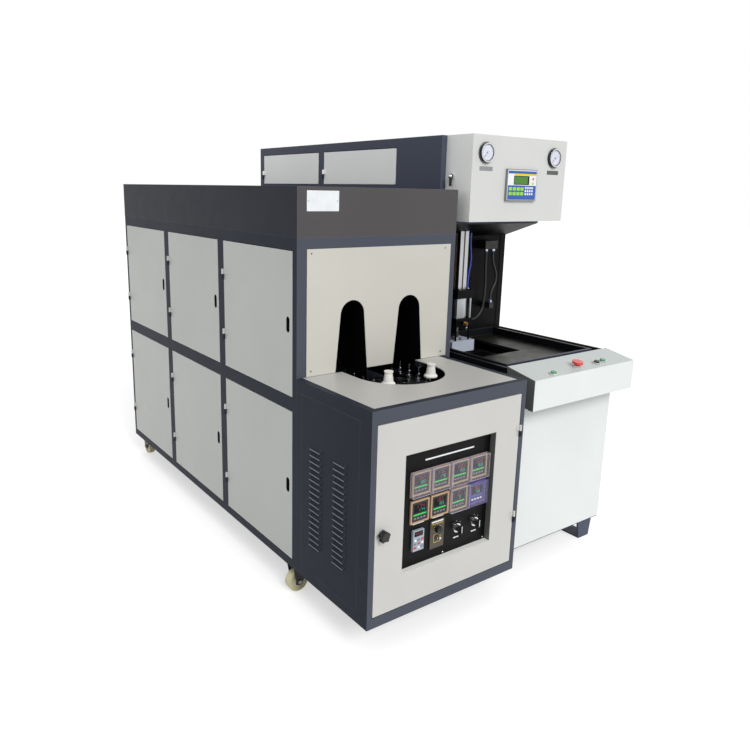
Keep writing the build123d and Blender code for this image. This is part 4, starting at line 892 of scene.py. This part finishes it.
# pressure gauges: white dial with ticks and a red end, pointer, a black seal round the dial, a black
# ring drawn as painted shadow in the gap round the rim, and a clear lens
gauge = {
    "spots": ((blowLeft + 88 * mm, 1474), (blowRight - 96 * mm, 1470)), "dial": 28.8, "depth": 8,
    "ticks": 25, "sweep": 135, "redFrom": 20, "longEvery": 4,
    "longTick": 2.2, "longAt": 0.84, "shortTick": 1.3, "shortAt": 0.88,  # shares of the dial
    "hub": 4, "lean": -130, "pointer": 17, "tail": 5, "tailHalf": 1.6, "tipHalf": 0.7,
    "seal": 2.4, "rim": 35, "shadowGapRing": (1.8, 1.2), "lensDepth": 11.2,
    "lens": ((1, 0), (1, 0.4), (0.7, 1.1), (0.35, 1.4), (0, 1.5)),
}


def squareRing(inner, outer, start, end):
    # closed profile of a ring with a square section
    return [(outer, start), (outer, end), (inner, end), (inner, start), (outer, start)]


def gaugeTicks(shape, x, z, face, reach):
    for i in range(gauge["ticks"]):
        angle = math.radians(-gauge["sweep"] + 2 * gauge["sweep"] * i / (gauge["ticks"] - 1))
        length = "short" if i % gauge["longEvery"] else "long"
        away = reach * gauge[length + "At"]
        size = gauge[length + "Tick"] * mm
        kind = 2 if i >= gauge["redFrom"] else 1
        frontPlate(shape, x + math.sin(angle) * away, z + math.cos(angle) * away, size, size,
                   face - 0.3 * mm, face - 0.5 * mm, size / 2, kind, 0.05 * mm)


def gaugePointer(shape, hub):
    radius = gauge["hub"] * mm
    turnedForm(shape, hub, (0, -1, 0), [(radius, 0), (radius, 0.8 * mm), (0, 1.2 * mm)], 1, 20)
    lean = math.radians(gauge["lean"])
    ahead = Vector((math.sin(lean), 0, math.cos(lean)))
    across = Vector((math.cos(lean), 0, -math.sin(lean)))
    tail, tip = hub - ahead * gauge["tail"] * mm, hub + ahead * gauge["pointer"] * mm
    wide, narrow = across * gauge["tailHalf"] * mm, across * gauge["tipHalf"] * mm
    needle = [tail + wide, tip + narrow, tip - narrow, tail - wide]
    extrudedOutline(shape, needle, Vector((0, -0.5 * mm, 0)), 1)


def gaugeDial(number, x, z):
    shape = bmesh.new()
    face = headFront - gauge["depth"] * mm
    radius = gauge["dial"] * mm
    disc = [(radius, -0.1 * mm), (radius, 0.3 * mm), (0, 0.3 * mm)]
    turnedForm(shape, (x, face, z), (0, -1, 0), disc, 0, 40)
    gaugeTicks(shape, x, z, face, radius)
    gaugePointer(shape, Vector((x, face - 0.5 * mm, z)))
    seal = squareRing(radius - gauge["seal"] * mm, radius, 0.3 * mm, 1 * mm)
    turnedForm(shape, (x, face, z), (0, -1, 0), seal, 1, 40, capped=False)
    # painted shadow: a black ring on the head's face round the gauge rim
    rim, (wide, thick) = gauge["rim"] * mm, (v * mm for v in gauge["shadowGapRing"])
    shadowGapRing = squareRing(rim, rim + wide, 0, thick)
    turnedForm(shape, (x, headFront, z), (0, -1, 0), shadowGapRing, 1, 40, capped=False)
    materials = [plastics["dialWhite"], plastics["blackAbs"], plastics["redCap"]]
    finishPiece(f"gauge_dial_{number}", shape, materials, "base")
    glass = bmesh.new()
    dome = [(radius * u, v * mm) for u, v in gauge["lens"]]
    turnedForm(glass, (x, headFront - gauge["lensDepth"] * mm, z), (0, -1, 0), dome, 0, 40)
    finishPiece(f"gauge_lens_{number}", glass, [plastics["lensGlass"]], "base")


for number, (x, z) in enumerate(gauge["spots"], 1):
    gaugeDial(number, x, z * mm)

# plain grey caption plates below the gauges
caption = {"spots": ((blowLeft + 93 * mm, 1420), (blowRight - 96 * mm, 1416)), "size": (66, 15)}
shape = bmesh.new()
for tone, (x, z) in enumerate(caption["spots"]):
    printMark(shape, x, z * mm, caption["size"], headFront, 1, tone, 0.4, 0.3)
finishPiece("gauge_captions", shape, [plastics["captionGrey"], plastics["captionDark"]], "base")

# chrome dome over the pivot of the head's turn latch
latchDome = {"radius": 8, "rise": 6, "drop": 10, "rings": 6}
shape = bmesh.new()
latchLow, latchHigh = low["head_latch"], high["head_latch"]
pivot = Vector((latchLow.x, (latchLow.y + latchHigh.y) / 2, latchHigh.z - latchDome["drop"] * mm))
curve = []
for ring in range(latchDome["rings"]):
    angle = ring * math.pi / (2 * latchDome["rings"])
    curve.append((math.cos(angle) * latchDome["radius"] * mm, math.sin(angle) * latchDome["rise"] * mm))
turnedForm(shape, pivot, (-1, 0, 0), curve + [(0, latchDome["rise"] * mm)], 0, 24)
finishPiece("latch_dome", shape, [metals["chromePlate"]], "head_latch")
print("gauges made")

# display face: printed membrane with its screen, lamps and key fields
display = {
    "left": 195, "right": 357, "high": 1423, "low": 1310, "proud": 10.2, "back": 8.8, "margin": 6,
    "screen": (35, 118, 23, 55),  # left, right, top and bottom from the unit's corner
    "lampDrops": (33, 50), "lampInset": 22, "lamp": (9, 9),
    "limeColumns": (19, 40, 61, 81), "limeRows": (70, 87), "limeKey": (17, 12),
    "whiteColumns": (101, 113, 125, 137), "whiteRows": (66, 77, 88), "whiteKey": (8.5, 7.5),
}


def displayKeys(shape, left, top, face, kind, index, radius):
    # one field of keys, kind is lime or white
    for drop in display[kind + "Rows"]:
        for across in display[kind + "Columns"]:
            keyX, keyZ = left + across * mm, top - drop * mm
            printMark(shape, keyX, keyZ, display[kind + "Key"], face, radius, index, 0.6, 0.3)


def displayFace():
    shape = bmesh.new()
    left, right = blowLeft + display["left"] * mm, blowLeft + display["right"] * mm
    top, bottom = display["high"] * mm, display["low"] * mm
    middle, wide, margin = (left + right) / 2, right - left, display["margin"] * mm
    face = headFront - display["proud"] * mm
    frontPlate(shape, middle, (top + bottom) / 2, wide - margin, top - bottom - margin,
               headFront - display["back"] * mm, face, 3 * mm, 0)
    # blue band along the top, yellow line below it, blue field behind the keys
    lift = face - 0.25 * mm
    frontPlate(shape, middle, top - 11 * mm, wide - 10 * mm, 10 * mm,
               face, lift, 1 * mm, 1, 0.05 * mm)
    frontPlate(shape, middle + 16 * mm, top - 18.5 * mm, wide - 42 * mm, 6 * mm,
               face, lift - 0.05 * mm, 1 * mm, 2, 0.05 * mm)
    frontPlate(shape, middle, bottom + 30 * mm, wide - 10 * mm, 51 * mm,
               face, lift, 1 * mm, 1, 0.05 * mm)
    # screen in its black frame, with two round lamps beside it
    x1, x2, z1, z2 = (v * mm for v in display["screen"])
    midX, midZ = left + (x1 + x2) / 2, top - (z1 + z2) / 2
    frontPlate(shape, midX, midZ, x2 - x1, z2 - z1, face, face - 0.6 * mm, 1.5 * mm, 3)
    frontPlate(shape, midX - 3 * mm, midZ, x2 - x1 - 10 * mm, z2 - z1 - 5 * mm,
               face - 0.6 * mm, face - 0.9 * mm, 1 * mm, 4)
    for index, drop in enumerate(display["lampDrops"], 5):
        lampX = right - display["lampInset"] * mm
        printMark(shape, lampX, top - drop * mm, display["lamp"], face, 4.5, index, 0.9, 0.3)
    displayKeys(shape, left, top, lift, "lime", 6, 2.5)
    displayKeys(shape, left, top, lift, "white", 7, 1.5)
    materials = [
        plastics["membraneWhite"], plastics["membraneBlue"],
        plastics["membraneYellow"], coats["panelBlack"],
        plastics["lcdGreen"], plastics["lampRed"],
        plastics["limeKey"], plastics["membraneWhite"],
    ]
    finishPiece("display_face", shape, materials, "base")


displayFace()

# bare label plate on the hood, held by two rivets
hoodPlate = {"x": 92, "z": 1304, "size": (116, 61), "rivets": 52, "thick": 0.5}
shape = bmesh.new()
plateX, plateZ = ovenLeft + hoodPlate["x"] * mm, hoodPlate["z"] * mm
printMark(shape, plateX, plateZ, hoodPlate["size"], ovenFront, 2, 0, hoodPlate["thick"], 0.3)
for way in (-1, 1):
    rivetX = plateX + way * hoodPlate["rivets"] * mm
    addScrew(shape, rivetX, plateZ, ovenFront - hoodPlate["thick"] * mm, 1, 0.5)
finishPiece("hood_plate", shape, [plastics["membraneWhite"], metals["groundSteel"]], "base")
print("labels made")

# push-in fittings at the ends of the hoses: x and z of each port, and the way that it faces
fitting = {
    "axisY": -353.5, "nut": (8, 9), "collar": (6.6, 14),
    "ports": (
        ((450, 1110), (0, 0, -1)), ((490, 1110), (0, 0, -1)),  # manifold
        ((490, 884), (0, 0, 1)),  # outlet below it
        ((351, 946), (0, 0, 1)), ((358, 820), (1, 0, 0)),  # upper and lower port of the cylinder
    ),
}


def hoseFitting(shape, spot, axis):
    nut, nutLong = (v * mm for v in fitting["nut"])
    collar, reach = (v * mm for v in fitting["collar"])
    hexagon = [(nut * 0.9, 0), (nut, 0.8 * mm), (nut, nutLong - 0.8 * mm), (nut * 0.9, nutLong)]
    sleeve = [(collar, nutLong), (collar, reach - 1 * mm), (collar * 0.9, reach)]
    turnedForm(shape, spot, axis, hexagon, 0, 6)
    turnedForm(shape, spot, axis, sleeve, 1, 20)


shape = bmesh.new()
for (x, z), axis in fitting["ports"]:
    hoseFitting(shape, (x * mm, fitting["axisY"] * mm, z * mm), axis)
finishPiece("hose_fittings", shape, [metals["polishedSteel"], plastics["membraneBlue"]], "base")

# brass elbow on the seal cylinder's front port; profiles are radius and height
elbow = {
    "port": (286, -413.5, 822), "turn": 9,
    "body": ((8.5, 0), (8.5, 6), (6.5, 7), (6.5, 15), (0, 15)),
    "tail": ((6, 0), (6, 14), (7.5, 15), (7.5, 22), (0, 22)),
}
shape = bmesh.new()
portX, portY, portZ = (v * mm for v in elbow["port"])
body, tail = ([(r * mm, h * mm) for r, h in elbow[part]] for part in ("body", "tail"))
turnedForm(shape, (portX, portY, portZ), (0, -1, 0), body, 0, 6)
turnedForm(shape, (portX, portY - elbow["turn"] * mm, portZ), (0, 0, -1), tail, 1, 20)
finishPiece("port_elbow", shape, [metals["brassTurned"], metals["polishedSteel"]], "base")
print("fittings made")

# pressed cheek plates of the castor forks, wide at the crown and round at the axle,
# with a nut outside each
cheek = {
    "names": ("front_left", "front_right", "rear_left", "rear_right"),
    "insetX": 58, "frontInset": 50, "rearInset": 60, "rearY": 981.5,
    "inner": 20, "sheet": 1.6, "axleHeight": 37.5, "nut": (7.5, 4.4),
    "round": 13, "roundSteps": 10, "roundTurn": 20,  # turn in degrees from step to step
    "crown": ((18, 60), (24, 92), (-46, 92), (-46, 84), (-32, 60)),
}


def cheekOutline(along):
    up = Vector((0, 0, 1))
    turns = [math.radians(180 + cheek["roundTurn"] * step) for step in range(cheek["roundSteps"])]
    outline = [(cheek["round"] * math.cos(turn), cheek["round"] * math.sin(turn)) for turn in turns]
    flat = [along * u * mm + up * v * mm for u, v in outline]
    return flat + [along * u * mm + up * (z - cheek["axleHeight"]) * mm for u, z in cheek["crown"]]


def castorCheeks(name):
    wheelLow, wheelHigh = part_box(f"{name}_wheel")
    axleX, axleY = (wheelLow.x + wheelHigh.x) / 2, (wheelLow.y + wheelHigh.y) / 2
    axle = Vector((axleX, axleY, cheek["axleHeight"] * mm))
    stemX = ovenRight - cheek["insetX"] * mm
    if "left" in name:
        stemX = ovenLeft + cheek["insetX"] * mm
    stemY = (cheek["rearY"] - cheek["rearInset"]) * mm
    if "front" in name:
        stemY = ovenFront + cheek["frontInset"] * mm
    along = Vector((axle.x - stemX, axle.y - stemY, 0)).normalized()
    side = Vector((-along.y, along.x, 0))
    flat = cheekOutline(along)
    nut, rise = (v * mm for v in cheek["nut"])
    nutProfile = [(nut, 0), (nut, rise * 0.8), (nut * 0.85, rise), (0, rise)]
    shape = bmesh.new()
    for way in (-1, 1):
        start = axle + side * way * cheek["inner"] * mm
        push = side * way * cheek["sheet"] * mm
        extrudedOutline(shape, [start + point for point in flat], push)
        turnedForm(shape, start + push, side * way, nutProfile, 1, 6)
    materials = [coats["forkCoat"], metals["groundSteel"]]
    finishPiece(f"{name}_cheeks", shape, materials, f"{name}_fork")


for name in cheek["names"]:
    castorCheeks(name)
print("castor cheeks made")

# floor and light
stageLook = {
    "floor": "#cfcfcf", "white": "#ffffff", "lift": 0.55, "floorSize": 60,
    "worldStrength": 0.68, "keyStrength": 1.75, "keySpread": 24, "keyAim": (0.1, 0.79, -0.61),
}


def seenRays(tree):
    # 1 for rays that show the floor or sky itself, to the camera, in metal or through glass
    path = addNode(tree, "ShaderNodeLightPath")
    direct = addNode(
        tree, "ShaderNodeMath", {"operation": "MAXIMUM"},
        {0: path.outputs["Is Camera Ray"], 1: path.outputs["Is Glossy Ray"]},
    )
    seen = addNode(
        tree, "ShaderNodeMath", {"operation": "MAXIMUM"},
        {0: direct.outputs[0], 1: path.outputs["Is Transmission Ray"]},
    )
    return seen.outputs[0]


def floorMaterial():
    # pale floor that keeps the shadow and reads as white where the light is full
    material, tree, _ = startMaterial("paleFloor")
    paint = addNode(tree, "ShaderNodeBsdfDiffuse", {"Color": linear(stageLook["floor"])})
    lift = addNode(
        tree, "ShaderNodeEmission",
        {"Color": linear(stageLook["white"]), "Strength": stageLook["lift"]},
    )
    both = addNode(tree, "ShaderNodeAddShader", {}, {0: paint.outputs[0], 1: lift.outputs[0]})
    pick = addNode(
        tree, "ShaderNodeMixShader", {},
        {0: seenRays(tree), 1: paint.outputs[0], 2: both.outputs[0]},
    )
    addNode(tree, "ShaderNodeOutputMaterial", {}, {"Surface": pick.outputs[0]})
    return material


def makeStage():
    half = stageLook["floorSize"] / 2
    corners = [(-half, -half, 0), (half, -half, 0), (half, half, 0), (-half, half, 0)]
    mesh = bpy.data.meshes.new("floor")
    mesh.from_pydata(corners, [], [(0, 1, 2, 3)])
    mesh.materials.append(floorMaterial())
    floor = bpy.data.objects.new("floor", mesh)
    bpy.context.scene.collection.objects.link(floor)
    world = bpy.data.worlds.new("studio")
    world.use_nodes = True
    tree = world.node_tree
    tree.nodes.clear()
    strength = addNode(
        tree, "ShaderNodeMapRange", {"To Min": stageLook["worldStrength"], "To Max": 1.0},
        {"Value": seenRays(tree)},
    )
    sky = addNode(
        tree, "ShaderNodeBackground", {"Color": (1, 1, 1, 1)},
        {"Strength": strength.outputs[0]},
    )
    addNode(tree, "ShaderNodeOutputWorld", {}, {"Surface": sky.outputs[0]})
    bpy.context.scene.world = world
    key = bpy.data.lights.new("key", "SUN")
    key.energy = stageLook["keyStrength"]
    key.angle = math.radians(stageLook["keySpread"])
    lamp = bpy.data.objects.new("key", key)
    aim = Vector(stageLook["keyAim"]).normalized()
    lamp.rotation_mode = "QUATERNION"
    lamp.rotation_quaternion = aim.to_track_quat("-Z", "Y")
    bpy.context.scene.collection.objects.link(lamp)


makeStage()
bpy.context.scene.view_settings.view_transform = "Standard"
print("stage set")
